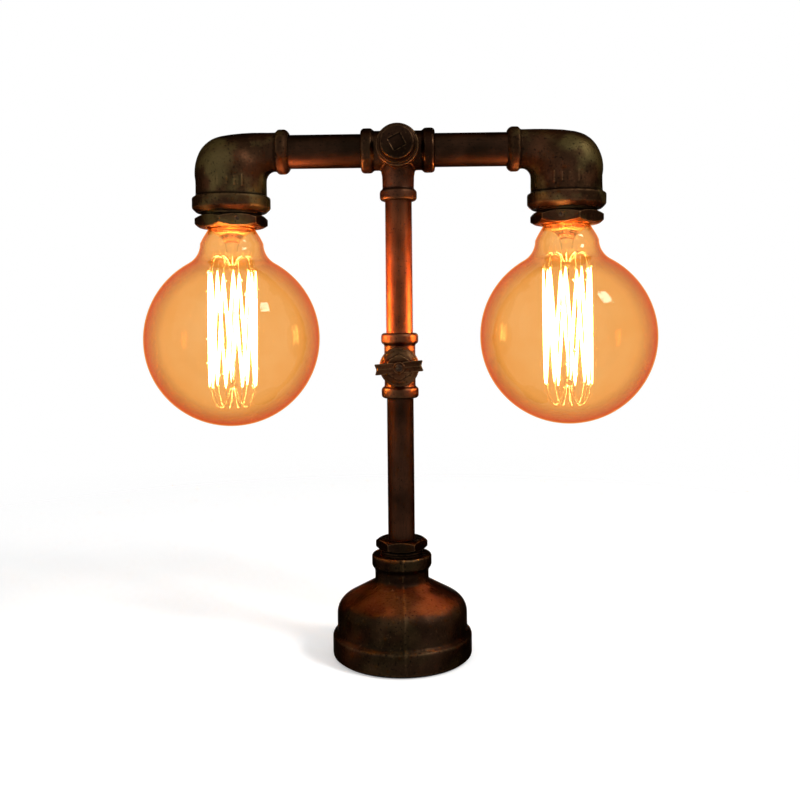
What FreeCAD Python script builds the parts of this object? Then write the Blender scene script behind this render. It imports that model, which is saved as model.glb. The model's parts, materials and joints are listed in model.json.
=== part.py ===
import FreeCAD, Part
import math
import os
import re
import Sketcher

# Industrial pipe table lamp.
# Millimetres, +Z up, +X to the lamp's right, the front faces -Y.
# The origin is on the table under the middle of the base.

Vector = FreeCAD.Vector
doc = FreeCAD.newDocument("PipeTableLamp")

# ---------------------------------------------------------------------------
# Driving dimensions
# ---------------------------------------------------------------------------

SIZES = [
    # stack of the column, from the table up
    ("pad_thick", 1.5, "foot pad under the rim"),
    ("base_height", 78.5, "bell reducer, mouth to neck face"),
    ("thread_show", 4.0, "bushing thread left bare above the neck"),
    ("bushing_hex_high", 8.0, "hex of the base bushing"),
    ("valve_height", 229.8, "middle of the valve above the table"),
    ("run_height", 401.3, "middle of the arms above the table"),
    ("arm_reach", 133.8, "column middle to bulb middle"),
    # pipes
    ("riser_radius", 10.65, "half-inch pipe, outside"),
    ("riser_bore", 7.9, "half-inch pipe, inside"),
    ("arm_radius", 13.45, "three-quarter pipe, outside"),
    ("arm_bore", 10.5, "three-quarter pipe, inside"),
    ("engage", 13.0, "length of made-up pipe thread"),
    ("arm_engage", 10.0, "length of arm thread inside the elbow"),
    # bell reducer
    ("rim_radius", 55.2, "band round the mouth"),
    ("rim_high", 16.3, "straight height of the band"),
    ("rim_slope", 3.0, "height of the slope above the band"),
    ("bell_radius", 51.6, "body"),
    ("shoulder_high", 40.8, "corner of body and cone, above the mouth face"),
    ("cone_angle", 29.0, "slope of the cone in degrees"),
    ("shoulder_round", 14.0, "rounding of the shoulder"),
    ("neck_radius", 21.3, "neck under the top bead"),
    ("neck_bead", 23.8, "top bead"),
    ("bead_high", 8.5, "height of the top bead"),
    ("bell_wall", 4.6, "casting wall"),
    ("neck_thread", 16.7, "one-inch thread in the neck"),
    ("mouth_bore", 44.5, "bore of the mouth"),
    ("seam_rise", 0.45, "height of the parting seam"),
    ("seam_sweep", 2.0, "width of the parting seam in degrees"),
    ("seam_turn", 3.4, "turn of the parting seam from the front in degrees"),
    # ballast and terminals
    ("ballast_thick", 9.0, "steel ballast disc"),
    ("ballast_gap", 3.4, "space for screw heads under the disc"),
    ("ballast_clear", 0.25, "gap between disc and mouth"),
    ("lug_circle", 38.5, "radius on which the lugs stand"),
    ("lug_radius", 6.5, "lug"),
    ("lug_high", 12.0, "lug"),
    ("mouth_deep", 4.0, "mouth bore above the ballast disc"),
    ("lug_screw", 2.5, "ballast screw shank"),
    ("lug_head", 4.6, "ballast screw head"),
    ("lug_head_high", 2.8, "ballast screw head"),
    ("lug_screw_long", 19.0, "ballast screw shank length"),
    ("earth_screw", 2.0, "earth screw shank"),
    ("earth_out", 24.0, "earth screw to the right of the column"),
    ("earth_front", 10.0, "earth screw in front of the column"),
    ("block_long", 26.0, "terminal block along X"),
    ("block_deep", 12.0, "terminal block along Y"),
    ("block_high", 11.0, "terminal block"),
    ("block_back", 16.0, "terminal block behind the column"),
    # cord inlet
    ("inlet_high", 29.0, "middle of the cord inlet above the table"),
    ("inlet_bore", 3.6, "grommet bore"),
    ("inlet_barrel", 6.0, "grommet barrel in the wall"),
    ("inlet_flange", 7.6, "grommet flange"),
    ("inlet_lip", 2.2, "thickness of each flange"),
    # base bushing
    ("bushing_flats", 36.0, "across the flats of the bushing hex"),
    ("bushing_engage", 19.0, "bushing thread inside the neck"),
    # small tees
    ("ring_radius", 14.8, "end rings of the half-inch fittings"),
    ("ring_high", 7.8, "end rings of the half-inch fittings"),
    ("ring_round", 0.34, "rounding of an end ring as a share of its width"),
    ("valve_half", 25.9, "valve middle to end face"),
    ("valve_neck", 12.4, "valve body between its rings"),
    ("valve_cavity", 9.4, "inside of the valve body"),
    ("branch_cavity", 8.7, "inside of the branch"),
    ("branch_reach", 27.3, "valve middle to branch face"),
    ("branch_band", 15.4, "band round the branch"),
    ("branch_body", 13.1, "branch behind its band"),
    # bonnet, switch and handle
    ("bonnet_radius", 14.0, "disc of the bonnet"),
    ("bonnet_thick", 2.6, "disc of the bonnet"),
    ("gland_flats", 18.0, "across the flats of the gland hex"),
    ("gland_high", 4.2, "gland hex"),
    ("bonnet_sleeve", 12.5, "thread of the bonnet inside the branch"),
    ("switch_radius", 8.2, "switch housing"),
    ("switch_long", 13.0, "switch housing"),
    ("switch_front", 2.3, "bonnet left in front of the switch"),
    ("rotor_radius", 6.0, "rotor of the switch"),
    ("rotor_long", 5.0, "rotor of the switch"),
    ("cover_thick", 3.0, "rear cover of the switch"),
    ("spindle_radius", 3.0, "spindle"),
    ("running", 0.06, "radial play of turning parts"),
    ("rub_gap", 0.35, "axial gap between turning and still parts"),
    ("handle_long", 37.0, "handle tip to tip"),
    ("handle_high", 8.3, "height of the handle bar"),
    ("handle_thick", 4.4, "thickness of the handle bar"),
    ("handle_ridge", 1.1, "ridge along the handle"),
    ("handle_hub", 4.6, "hub of the handle"),
    ("handle_hub_long", 1.6, "hub behind the bar"),
    ("handle_notch", 1.4, "depth of the forked ends"),
    ("handle_tilt", 4.8, "tilt of the bar at rest in degrees"),
    ("knob_screw", 2.7, "head of the handle screw"),
    ("knob_screw_high", 1.7, "head of the handle screw"),
    ("knob_shank", 1.5, "shank of the handle screw"),
    ("knob_shank_long", 9.0, "shank of the handle screw"),
    # side-outlet tee and plug
    ("tee_half", 29.5, "tee middle to run face"),
    ("tee_bead", 17.8, "beads of the run"),
    ("tee_bead_wide", 8.6, "beads of the run"),
    ("tee_body", 15.7, "body of the run"),
    ("tee_cavity", 11.5, "inside of the tee"),
    ("port_cavity", 10.6, "inside of the front port"),
    ("tee_drop", 40.4, "tee middle to the lower face"),
    ("tee_branch", 12.5, "lower branch above its ring"),
    ("port_reach", 27.0, "tee middle to the front port face"),
    ("port_band", 17.0, "band round the front port"),
    ("plug_thread", 13.3, "plug thread"),
    ("plug_engage", 10.0, "plug thread inside the port"),
    ("plug_flange", 15.3, "plug flange"),
    ("plug_flange_thick", 3.0, "plug flange"),
    ("plug_boss", 13.1, "plug boss"),
    ("plug_boss_high", 8.6, "plug boss"),
    ("plug_square", 10.2, "square recess in the plug"),
    ("plug_square_deep", 1.1, "square recess in the plug"),
    ("plug_square_turn", 28.0, "turn of the square in degrees"),
    # reducing elbows, measured from the crossing of their two axes
    ("elbow_side", 47.0, "axis to the small port face"),
    ("elbow_drop", 48.5, "axis to the large port face"),
    ("elbow_small", 15.5, "small body"),
    ("elbow_large", 28.2, "large body"),
    ("elbow_throat", 7.0, "rounding in the throat"),
    ("elbow_wall", 4.6, "casting wall"),
    ("elbow_square", 3.5, "squareness of the outer curve, 2 is an ellipse"),
    ("collar_radius", 31.1, "collar of the large port"),
    ("collar_high", 8.9, "straight height of the collar"),
    ("collar_slope", 3.6, "slope under the collar"),
    ("elbow_bead_wide", 10.4, "bead of the small port"),
    ("elbow_engage", 16.0, "socket nut thread inside the elbow"),
    # socket nuts
    ("nut_gap", 2.4, "bare thread between elbow and nut"),
    ("nut_flats", 51.0, "across the flats of the nut"),
    ("nut_high", 9.5, "nut"),
    ("nut_thread", 23.9, "thread of the nut"),
    ("nut_mouth", 20.3, "mouth of the nut"),
    ("nut_lip", 3.8, "lip that carries the lampholder"),
    ("nut_turn_left", 21.0, "turn of the left nut in degrees"),
    ("nut_turn_right", -19.0, "turn of the right nut in degrees"),
    ("grub_radius", 1.6, "set screw"),
    ("grub_sink", 0.5, "set screw below the flat"),
    # lampholders
    ("holder_flange", 21.3, "flange of the lampholder"),
    ("holder_flange_high", 4.5, "flange of the lampholder"),
    ("holder_radius", 18.6, "porcelain body"),
    ("holder_depth", 27.5, "depth of the holder"),
    ("holder_top", 6.5, "solid top of the holder"),
    ("shell_radius", 13.5, "inside of the screw shell"),
    ("shell_wall", 0.6, "wall of the screw shell"),
    ("shell_inset", 1.0, "screw shell above the holder mouth"),
    ("contact_radius", 4.0, "centre contact"),
    ("contact_high", 1.5, "centre contact"),
    ("contact_gap", 0.3, "eyelet to centre contact"),
    ("holder_screw", 2.2, "terminal screw head"),
    # bulbs
    ("cap_radius", 13.2, "crest of the screw cap"),
    ("cap_long", 26.5, "cap with its eyelet"),
    ("cap_wall", 0.5, "cap sheet"),
    ("thread_deep", 1.0, "depth of the rolled thread"),
    ("thread_pitch", 3.629, "pitch of the rolled thread"),
    ("eyelet_radius", 4.7, "eyelet"),
    ("eyelet_high", 1.5, "eyelet"),
    ("insulator_high", 3.2, "black insulator"),
    ("globe_radius", 69.4, "globe"),
    ("neck_drop", 16.5, "holder mouth down to the foot of the neck"),
    ("glass_wall", 0.9, "glass"),
    ("throat_radius", 25.0, "neck of the globe"),
    ("throat_taper", 2.2, "narrowing of the neck towards its top"),
    ("throat_blend", 18.0, "curve between neck and globe"),
    ("throat_top", 11.9, "holder mouth down to the full neck"),
    ("glass_shoulder", 18.5, "narrow top of the neck"),
    ("shoulder_drop", 5.0, "holder mouth down to the narrow top"),
    ("stem_flare", 24.0, "length of the glass flare"),
    ("stem_tube", 4.2, "stem under the flare"),
    ("rod_radius", 1.6, "centre rod"),
    ("button_radius", 3.4, "glass buttons"),
    ("cage_radius", 20.2, "filament cage"),
    ("stem_drop", 4.0, "foot of the cap down to the top of the stem"),
    ("button_drop", 6.4, "end of the flare down to the upper button"),
    ("cage_drop", 3.0, "upper button down to the upper hooks"),
    ("button_foot", 31.8, "foot of the globe up to the lower button"),
    ("cage_foot", 30.8, "foot of the globe up to the lower hooks"),
    ("hook_arch", 9.0, "knees of the upper wires above their button"),
    ("hook_dip", 17.0, "knees of the lower wires under their button"),
    ("filament_wire", 0.3, "filament"),
    ("hook_wire", 0.3, "support wires"),
    # wiring
    ("flex_radius", 1.7, "inner flex"),
    ("flex_sway", 60.0, "length over which the inner flex wanders in a riser"),
    ("cap_nut_radius", 3.4, "wire connector in the tee"),
    ("cap_nut_long", 12.0, "wire connector in the tee"),
]
LUGS = 3
HOOKS = 9

sizes = doc.addObject("Spreadsheet::Sheet", "Sizes")
for row, (alias, number, note) in enumerate(SIZES, start=1):
    sizes.set(f"A{row}", alias)
    sizes.set(f"B{row}", str(number))
    sizes.setAlias(f"B{row}", alias)
    sizes.set(f"C{row}", note)
doc.recompute()

ALIASES = {alias for alias, number, note in SIZES}


def bound(text):
    """An expression for the document: each size's word gets the sheet's name."""

    def named(match):
        word = match.group()
        return "Sizes." + word if word in ALIASES else word

    return re.sub(r"[a-z_]+", named, str(text))


def value(text):
    """The number that such an expression gives now."""
    return float(sizes.evalExpression(bound(text)))


# levels that several pieces share, each written once
BELL_TOP = "(pad_thick + base_height)"
HEX_LOW = "(pad_thick + base_height + thread_show)"
HEX_TOP = "(pad_thick + base_height + thread_show + bushing_hex_high)"
NECK_FOOT = "(shoulder_high + (bell_radius - neck_radius) * tan(cone_angle))"
BALLAST_LOW = "(pad_thick + ballast_gap)"
BALLAST_TOP = "(pad_thick + ballast_gap + ballast_thick)"
BONNET_FACE = "(branch_reach + bonnet_thick)"
GLAND_FACE = "(branch_reach + bonnet_thick + gland_high)"
SWITCH_FACE = "(branch_reach - switch_front)"
SWITCH_BACK = "(branch_reach - switch_front - switch_long)"
BAR_BACK = "(branch_reach + bonnet_thick + gland_high + rub_gap + handle_hub_long)"
BAR_FACE = "(branch_reach + bonnet_thick + gland_high + rub_gap + handle_hub_long + handle_thick)"
NUT_TOP = "(elbow_drop + nut_gap)"
NUT_LOW = "(elbow_drop + nut_gap + nut_high)"
SEAT = "(elbow_drop + nut_gap + nut_high - nut_lip)"
HOLDER_MOUTH = "(run_height - elbow_drop - nut_gap - nut_high + nut_lip)"
CEILING = "(elbow_drop + nut_gap + nut_high - nut_lip - holder_depth)"
EYELET_TOP = f"({HOLDER_MOUTH} + holder_depth - contact_high - contact_gap)"
CAP_LOW = f"({EYELET_TOP} - cap_long)"
NECK_END = f"({HOLDER_MOUTH} - neck_drop)"
GLOBE_RISE = "sqrt((globe_radius + throat_blend)^2 - (throat_radius + throat_blend)^2)"
GLOBE_MIDDLE = f"({NECK_END} - {GLOBE_RISE})"
STEM_TOP = f"({CAP_LOW} - stem_drop)"
BUTTON_TOP = f"({STEM_TOP} - stem_flare - button_drop)"
BUTTON_LOW = f"({GLOBE_MIDDLE} - globe_radius + button_foot)"
CAGE_TOP = f"({BUTTON_TOP} - cage_drop)"
CAGE_BOTTOM = f"({GLOBE_MIDDLE} - globe_radius + cage_foot)"


made = []


# ---------------------------------------------------------------------------
# Sketches and features
# ---------------------------------------------------------------------------


def new_body(label):
    """An empty body whose name is its file's name."""
    body = doc.addObject("PartDesign::Body", label)
    body.Label = label
    made.append(body)
    return body


def place(piece, x="0", y="0", z="0", turn=0):
    """Binds a piece's place to the sheet, after a turn about Z in degrees."""
    piece.Placement.Rotation = FreeCAD.Rotation(Vector(0, 0, 1), turn)
    for axis, text in (("x", x), ("y", y), ("z", z)):
        if text != "0":
            piece.setExpression("Placement.Base." + axis, bound(text))


def origin_plane(body, role):
    return [f for f in body.Origin.OriginFeatures if f.Role == role][0]


def new_sketch(body, name, role, lift="0"):
    sketch = body.newObject("Sketcher::SketchObject", name)
    sketch.AttachmentSupport = (origin_plane(body, role), [""])
    sketch.MapMode = "FlatFace"
    if lift != "0":
        sketch.setExpression("AttachmentOffset.Base.z", bound(lift))
    return sketch


def pin(sketch, geometry, point, x, y):
    """Fixes one point of a sketch at two bound coordinates."""
    for kind, text in (("DistanceX", x), ("DistanceY", y)):
        index = sketch.addConstraint(Sketcher.Constraint(kind, geometry, point, value(text)))
        sketch.setExpression(f"Constraints[{index}]", bound(text))


def outline(sketch, corners):
    """Draws a closed outline of straight runs; a third value rounds a corner."""
    count = len(corners)
    at = [Vector(value(c[0]), value(c[1]), 0) for c in corners]
    rounds = [c[2] if len(c) > 2 else None for c in corners]
    entry, leave, arcs = list(at), list(at), [None] * count
    for i in range(count):
        if rounds[i] is None:
            continue
        back = (at[i - 1] - at[i]).normalize()
        ahead = (at[(i + 1) % count] - at[i]).normalize()
        radius = value(rounds[i])
        half = back.getAngle(ahead) / 2
        entry[i] = at[i] + back * (radius / math.tan(half))
        leave[i] = at[i] + ahead * (radius / math.tan(half))
        centre = at[i] + (back + ahead).normalize() * (radius / math.sin(half))
        left = back.cross(ahead).z < 0
        first, last = (entry[i], leave[i]) if left else (leave[i], entry[i])
        start = math.atan2(first.y - centre.y, first.x - centre.x)
        end = math.atan2(last.y - centre.y, last.x - centre.x)
        arcs[i] = (Part.ArcOfCircle(Part.Circle(centre, Vector(0, 0, 1), radius), start, end), left)
    lines = []
    for i in range(count):
        lines.append(sketch.addGeometry(Part.LineSegment(leave[i], entry[(i + 1) % count]), False))
    for i in range(count):
        before, after = lines[i - 1], lines[i]
        if rounds[i] is None:
            sketch.addConstraint(Sketcher.Constraint("Coincident", before, 2, after, 1))
            pin(sketch, after, 1, corners[i][0], corners[i][1])
            continue
        corner = sketch.addGeometry(Part.Point(at[i]), True)
        pin(sketch, corner, 1, corners[i][0], corners[i][1])
        sketch.addConstraint(Sketcher.Constraint("PointOnObject", corner, 1, before))
        sketch.addConstraint(Sketcher.Constraint("PointOnObject", corner, 1, after))
        shape, left = arcs[i]
        arc = sketch.addGeometry(shape, False)
        sketch.addConstraint(Sketcher.Constraint("Tangent", before, 2, arc, 1 if left else 2))
        sketch.addConstraint(Sketcher.Constraint("Tangent", after, 1, arc, 2 if left else 1))
        index = sketch.addConstraint(Sketcher.Constraint("Radius", arc, value(rounds[i])))
        sketch.setExpression(f"Constraints[{index}]", bound(rounds[i]))


PLANE_OF = {"X": ("XZ_Plane", "H_Axis"), "Y": ("YZ_Plane", "H_Axis"), "Z": ("XZ_Plane", "V_Axis")}


def turned(body, name, axis, corners, cut=False):
    """Turns an outline of (radius, distance along the axis) corners about an axis."""
    role, reference = PLANE_OF[axis]
    sketch = new_sketch(body, name + "_outline", role)
    flat = [c if axis == "Z" else (c[1], c[0]) + tuple(c[2:]) for c in corners]
    outline(sketch, flat)
    kind = "PartDesign::Groove" if cut else "PartDesign::Revolution"
    feature = body.newObject(kind, name)
    feature.Profile = sketch
    feature.ReferenceAxis = (sketch, [reference])
    feature.Angle = 360
    return feature


def bored(body, name, axis, radius, low, high):
    """Cuts a plain round bore along an axis."""
    return turned(body, name, axis, [("0", low), (radius, low), (radius, high), ("0", high)], cut=True)


def hexagon(sketch, flats, turn):
    """Draws a hexagon across the given flats, one flat's middle at the turn."""
    corners = []
    for k in range(6):
        angle = f"({turn} + {30 + 60 * k})"
        corners.append((f"{flats} / 2 / cos(30) * cos{angle}", f"{flats} / 2 / cos(30) * sin{angle}"))
    outline(sketch, corners)


def padded(body, name, sketch, length, cut=False, flip=False):
    kind = "PartDesign::Pocket" if cut else "PartDesign::Pad"
    feature = body.newObject(kind, name)
    feature.Profile = sketch
    feature.setExpression("Length", bound(length))
    feature.Reversed = flip
    return feature


def circles(sketch, places):
    """Draws circles, each a bound (x, y, radius)."""
    for x, y, radius in places:
        centre = Vector(value(x), value(y), 0)
        ring = sketch.addGeometry(Part.Circle(centre, Vector(0, 0, 1), value(radius)), False)
        pin(sketch, ring, 3, x, y)
        index = sketch.addConstraint(Sketcher.Constraint("Radius", ring, value(radius)))
        sketch.setExpression(f"Constraints[{index}]", bound(radius))


def hex_chamfers(body, name, axis, flats, low, high):
    """Turns the hexagon's corners back to a 30 degree chamfer at its faces."""
    corner = f"{flats} / 2 / cos(30) + 1"
    inner = f"{flats} / 2 - 0.3"
    drop = f"({flats} / 2 / cos(30) + 1 - {flats} / 2 + 0.3) * tan(30)"
    upper = [(inner, high), (corner, f"{high} - {drop}"), (corner, high)]
    lower = [(inner, low), (corner, low), (corner, f"{low} + {drop}")]
    turned(body, name + "_high", axis, upper, cut=True)
    turned(body, name + "_low", axis, lower, cut=True)


def thread_rings(body, name, axis, radius, start, pitch, depth, count):
    """Cuts shallow rings that read as the last turns of a thread."""
    for k in range(count):
        low = f"({start} + {k} * {pitch})"
        ring = [
            (f"{radius} + 0.5", f"{low} + {pitch} * 0.18"),
            (f"{radius} - {depth}", f"{low} + {pitch} * 0.5"),
            (f"{radius} + 0.5", f"{low} + {pitch} * 0.82"),
        ]
        turned(body, f"{name}{k + 1}", axis, ring, cut=True)


# ---------------------------------------------------------------------------
# Part primitives
# ---------------------------------------------------------------------------


def cylinder(name, radius, length, x="0", y="0", z="0", direction=Vector(0, 0, 1)):
    piece = doc.addObject("Part::Cylinder", name)
    piece.setExpression("Radius", bound(radius))
    piece.setExpression("Height", bound(length))
    piece.Placement.Rotation = FreeCAD.Rotation(Vector(0, 0, 1), direction)
    for axis, text in (("x", x), ("y", y), ("z", z)):
        if text != "0":
            piece.setExpression("Placement.Base." + axis, bound(text))
    return piece


def joined(name, pieces):
    whole = doc.addObject("Part::MultiFuse", name)
    whole.Shapes = pieces
    return whole


def group(label, pieces):
    """Several separate solids that share one file."""
    whole = doc.addObject("Part::Compound", label)
    whole.Links = pieces
    whole.Label = label
    made.append(whole)
    return whole


def set_shape(label, shape, where=None):
    """A piece whose shape is made directly from the sheet's values."""
    piece = doc.addObject("Part::Feature", label)
    piece.Label = label
    piece.Shape = shape
    if where is not None:
        piece.Placement = where
    made.append(piece)
    return piece


def flex(points, radius):
    """A round flex along straight runs joined by tangent arcs."""
    edges = []
    start = points[0]
    for i in range(1, len(points) - 1):
        back, ahead = points[i - 1] - points[i], points[i + 1] - points[i]
        turn = math.pi - back.getAngle(ahead)
        bend = 0.45 * min(back.Length, ahead.Length) / math.tan(turn / 2)
        cut = bend * math.tan(turn / 2)
        middle = (back.normalize() + ahead.normalize()).normalize()
        first = points[i] + back * cut
        last = points[i] + ahead * cut
        apex = points[i] + middle * (bend / math.cos(turn / 2) - bend)
        edges.append(Part.LineSegment(start, first).toShape())
        edges.append(Part.Arc(first, apex, last).toShape())
        start = last
    edges.append(Part.LineSegment(start, points[-1]).toShape())
    path = Part.Wire(edges)
    direction = (points[1] - points[0]).normalize()
    ring = Part.Wire([Part.Circle(points[0], direction, radius).toShape()])
    return path.makePipeShell([ring], True, False)


# ---------------------------------------------------------------------------
# Base: bell reducer, ballast, foot pad, cord inlet
# ---------------------------------------------------------------------------

LUG_AT = [30 + 360 / LUGS * k for k in range(LUGS)]
lug_places = [(f"lug_circle * cos({a})", f"lug_circle * sin({a})") for a in LUG_AT]

# the casting is built from its mouth face up and then stood on the pad
bell_outside = [
    ("rim_radius", "0", "1.4"),
    ("rim_radius", "rim_high", "1.2"),
    ("bell_radius", "rim_high + rim_slope"),
    ("bell_radius", "shoulder_high", "shoulder_round"),
    ("neck_radius", NECK_FOOT, "2.4"),
    ("neck_radius", "base_height - bead_high - 3.6"),
    ("neck_bead", "base_height - bead_high", "1.5"),
    ("neck_bead", "base_height", "1.3"),
]
bell_inside = [
    ("neck_thread", "base_height"),
    (
        "neck_thread",
        f"{NECK_FOOT} - bell_wall / cos(cone_angle) + (neck_radius - neck_thread) * tan(cone_angle)",
    ),
    (
        "bell_radius - bell_wall",
        "shoulder_high - bell_wall / cos(cone_angle) + bell_wall * tan(cone_angle)",
        "shoulder_round - bell_wall",
    ),
    ("bell_radius - bell_wall", f"{BALLAST_TOP} - pad_thick + mouth_deep"),
    ("mouth_bore", f"{BALLAST_TOP} - pad_thick + mouth_deep"),
    ("mouth_bore", "0"),
]
base = new_body("base_reducer")
turned(base, "bell", "Z", bell_outside + bell_inside)

lug_sketch = new_sketch(base, "lug_outline", "XY_Plane", f"{BALLAST_TOP} - pad_thick")
circles(lug_sketch, [(x, y, "lug_radius") for x, y in lug_places])
padded(base, "lugs", lug_sketch, "lug_high")

tap_sketch = new_sketch(base, "tap_outline", "XY_Plane", f"{BALLAST_TOP} - pad_thick")
circles(tap_sketch, [(x, y, "lug_screw") for x, y in lug_places])
padded(base, "taps", tap_sketch, "lug_high", cut=True, flip=True)

# parting seam of the mould, a narrow rib up the front and the back
for side, sign in (("front", "-"), ("back", "")):
    rise = "seam_rise"
    seam = [
        (f"{sign}(rim_radius - 2)", "1.6"),
        (f"{sign}(rim_radius + {rise})", "1.6"),
        (f"{sign}(rim_radius + {rise})", "rim_high - 0.4"),
        (f"{sign}(bell_radius + {rise})", "rim_high + rim_slope - 0.1"),
        (f"{sign}(bell_radius + {rise})", "shoulder_high", "shoulder_round"),
        (f"{sign}(neck_radius + {rise})", f"{NECK_FOOT} + 0.4"),
        (f"{sign}(neck_radius + {rise})", "base_height - bead_high - 3.8"),
        (f"{sign}(neck_bead + {rise} - 0.1)", "base_height - bead_high"),
        (f"{sign}(neck_bead + {rise} - 0.1)", "base_height - 1.6"),
        (f"{sign}(neck_bead - 2)", "base_height - 1.6"),
        (f"{sign}(neck_radius - 2)", f"{NECK_FOOT} - 1"),
        (f"{sign}(bell_radius - 2)", "shoulder_high - 1", "shoulder_round - 2"),
        (f"{sign}(bell_radius - 2)", "rim_high"),
    ]
    seam_sketch = new_sketch(base, f"seam_{side}_outline", "YZ_Plane")
    seam_sketch.AttachmentOffset.Rotation = FreeCAD.Rotation(Vector(0, 1, 0), value("seam_turn"))
    outline(seam_sketch, seam)
    rib = base.newObject("PartDesign::Revolution", f"seam_{side}")
    rib.Profile = seam_sketch
    rib.ReferenceAxis = (seam_sketch, ["V_Axis"])
    rib.Midplane = True
    rib.setExpression("Angle", bound("seam_sweep"))

inlet_sketch = new_sketch(base, "inlet_outline", "XZ_Plane")
circles(inlet_sketch, [("0", "inlet_high - pad_thick", "inlet_barrel")])
padded(base, "inlet", inlet_sketch, "rim_radius + 5", cut=True)
face_sketch = new_sketch(base, "spot_face_outline", "XZ_Plane", "-bell_radius")
circles(face_sketch, [("0", "inlet_high - pad_thick", "inlet_flange + 0.3")])
padded(base, "spot_face", face_sketch, "2", cut=True)
place(base, z="pad_thick")

grommet = new_body("cord_grommet")
wall_in = "sqrt((bell_radius - bell_wall)^2 - inlet_flange^2)"
turned(
    grommet,
    "grommet",
    "Y",
    [
        ("inlet_bore", f"{wall_in} - inlet_lip"),
        ("inlet_flange", f"{wall_in} - inlet_lip"),
        ("inlet_flange", wall_in),
        ("inlet_barrel", wall_in),
        ("inlet_barrel", "bell_radius"),
        ("inlet_flange", "bell_radius"),
        ("inlet_flange", "bell_radius + inlet_lip", "1.2"),
        ("inlet_bore", "bell_radius + inlet_lip"),
    ],
)
place(grommet, z="inlet_high")

ballast = new_body("ballast_disc")
turned(
    ballast,
    "disc",
    "Z",
    [
        ("0", "0"),
        ("mouth_bore - ballast_clear", "0", "0.8"),
        ("mouth_bore - ballast_clear", "ballast_thick", "0.8"),
        ("0", "ballast_thick"),
    ],
)
hole_sketch = new_sketch(ballast, "hole_outline", "XY_Plane")
holes = [(x, y, "lug_screw + 0.25") for x, y in lug_places]
circles(hole_sketch, holes)
padded(ballast, "screw_holes", hole_sketch, "ballast_thick", cut=True, flip=True)
earth_sketch = new_sketch(ballast, "earth_outline", "XY_Plane", "ballast_thick")
circles(earth_sketch, [("earth_out", "-earth_front", "earth_screw")])
padded(ballast, "earth_hole", earth_sketch, "ballast_thick - 2", cut=True)
place(ballast, z=BALLAST_LOW)

pad = new_body("foot_pad")
turned(
    pad,
    "pad",
    "Z",
    [("0", "0"), ("rim_radius - 3.2", "0"), ("rim_radius - 3.2", "pad_thick"), ("0", "pad_thick")],
)

screws = []
for k, (x, y) in enumerate(lug_places, start=1):
    shank = cylinder(f"lug_shank{k}", "lug_screw", "lug_screw_long", x, y, BALLAST_LOW)
    head = cylinder(f"lug_head{k}", "lug_head", "lug_head_high", x, y, f"{BALLAST_LOW} - lug_head_high")
    screws.append(joined(f"lug_screw_piece{k}", [shank, head]))
group("ballast_screws", screws)

earth = new_body("earth_screw")
turned(
    earth,
    "screw",
    "Z",
    [
        ("0", "-(ballast_thick - 2)"),
        ("earth_screw", "-(ballast_thick - 2)"),
        ("earth_screw", "0"),
        ("earth_screw * 1.9", "0"),
        ("earth_screw * 1.9", "2.4", "0.8"),
        ("0", "2.4"),
    ],
)
place(earth, x="earth_out", y="-earth_front", z=BALLAST_TOP)

block = new_body("terminal_block")
block_sketch = new_sketch(block, "block_outline", "XY_Plane")
outline(
    block_sketch,
    [
        ("-block_long / 2", "-block_deep / 2", "1"),
        ("block_long / 2", "-block_deep / 2", "1"),
        ("block_long / 2", "block_deep / 2", "1"),
        ("-block_long / 2", "block_deep / 2", "1"),
    ],
)
padded(block, "block", block_sketch, "block_high")
well_sketch = new_sketch(block, "well_outline", "XY_Plane", "block_high")
wells = [(f"block_long / 6 * {k}", "0", "2.3") for k in (-2, 0, 2)]
circles(well_sketch, wells)
padded(block, "wells", well_sketch, "3", cut=True)
place(block, y="block_back", z=BALLAST_TOP)

clamp_screws = []
for k, (x, y, r) in enumerate(wells, start=1):
    clamp_screws.append(
        cylinder(f"clamp_screw{k}", "1.9", "1.8", x, "block_back", f"{BALLAST_TOP} + block_high - 3")
    )
group("terminal_screws", clamp_screws)

# ---------------------------------------------------------------------------
# Column: bushing, risers
# ---------------------------------------------------------------------------

bushing = new_body("base_bushing")
turned(
    bushing,
    "sleeve",
    "Z",
    [
        ("riser_bore + 1.2", "-(thread_show + bushing_engage)"),
        ("neck_thread", "-(thread_show + bushing_engage)"),
        ("neck_thread", "0"),
        ("riser_radius + 2", "0"),
        ("riser_radius + 2", "bushing_hex_high"),
        ("riser_radius", "bushing_hex_high"),
        ("riser_radius", "bushing_hex_high - engage"),
        ("riser_bore + 1.2", "bushing_hex_high - engage"),
    ],
)
bushing_sketch = new_sketch(bushing, "hex_outline", "XY_Plane")
hexagon(bushing_sketch, "bushing_flats", "-90")
circles(bushing_sketch, [("0", "0", "riser_radius")])
padded(bushing, "hex", bushing_sketch, "bushing_hex_high")
hex_chamfers(bushing, "bushing_chamfer", "Z", "bushing_flats", "0", "bushing_hex_high")
thread_rings(bushing, "bushing_ring", "Z", "neck_thread", "-thread_show", "(thread_show / 2)", "0.9", 2)
place(bushing, z=HEX_LOW)


def pipe(label, axis, outside, inside, low, high):
    body = new_body(label)
    turned(
        body,
        "tube",
        axis,
        [(inside, low), (outside, low, "0.5"), (outside, high, "0.5"), (inside, high)],
    )
    return body


pipe(
    "riser_lower",
    "Z",
    "riser_radius",
    "riser_bore",
    f"{HEX_TOP} - engage",
    "valve_height - valve_half + engage",
)
pipe(
    "riser_upper",
    "Z",
    "riser_radius",
    "riser_bore",
    "valve_height + valve_half - engage",
    "run_height - tee_drop + engage",
)

# ---------------------------------------------------------------------------
# Valve body with the rotary switch
# ---------------------------------------------------------------------------


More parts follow.
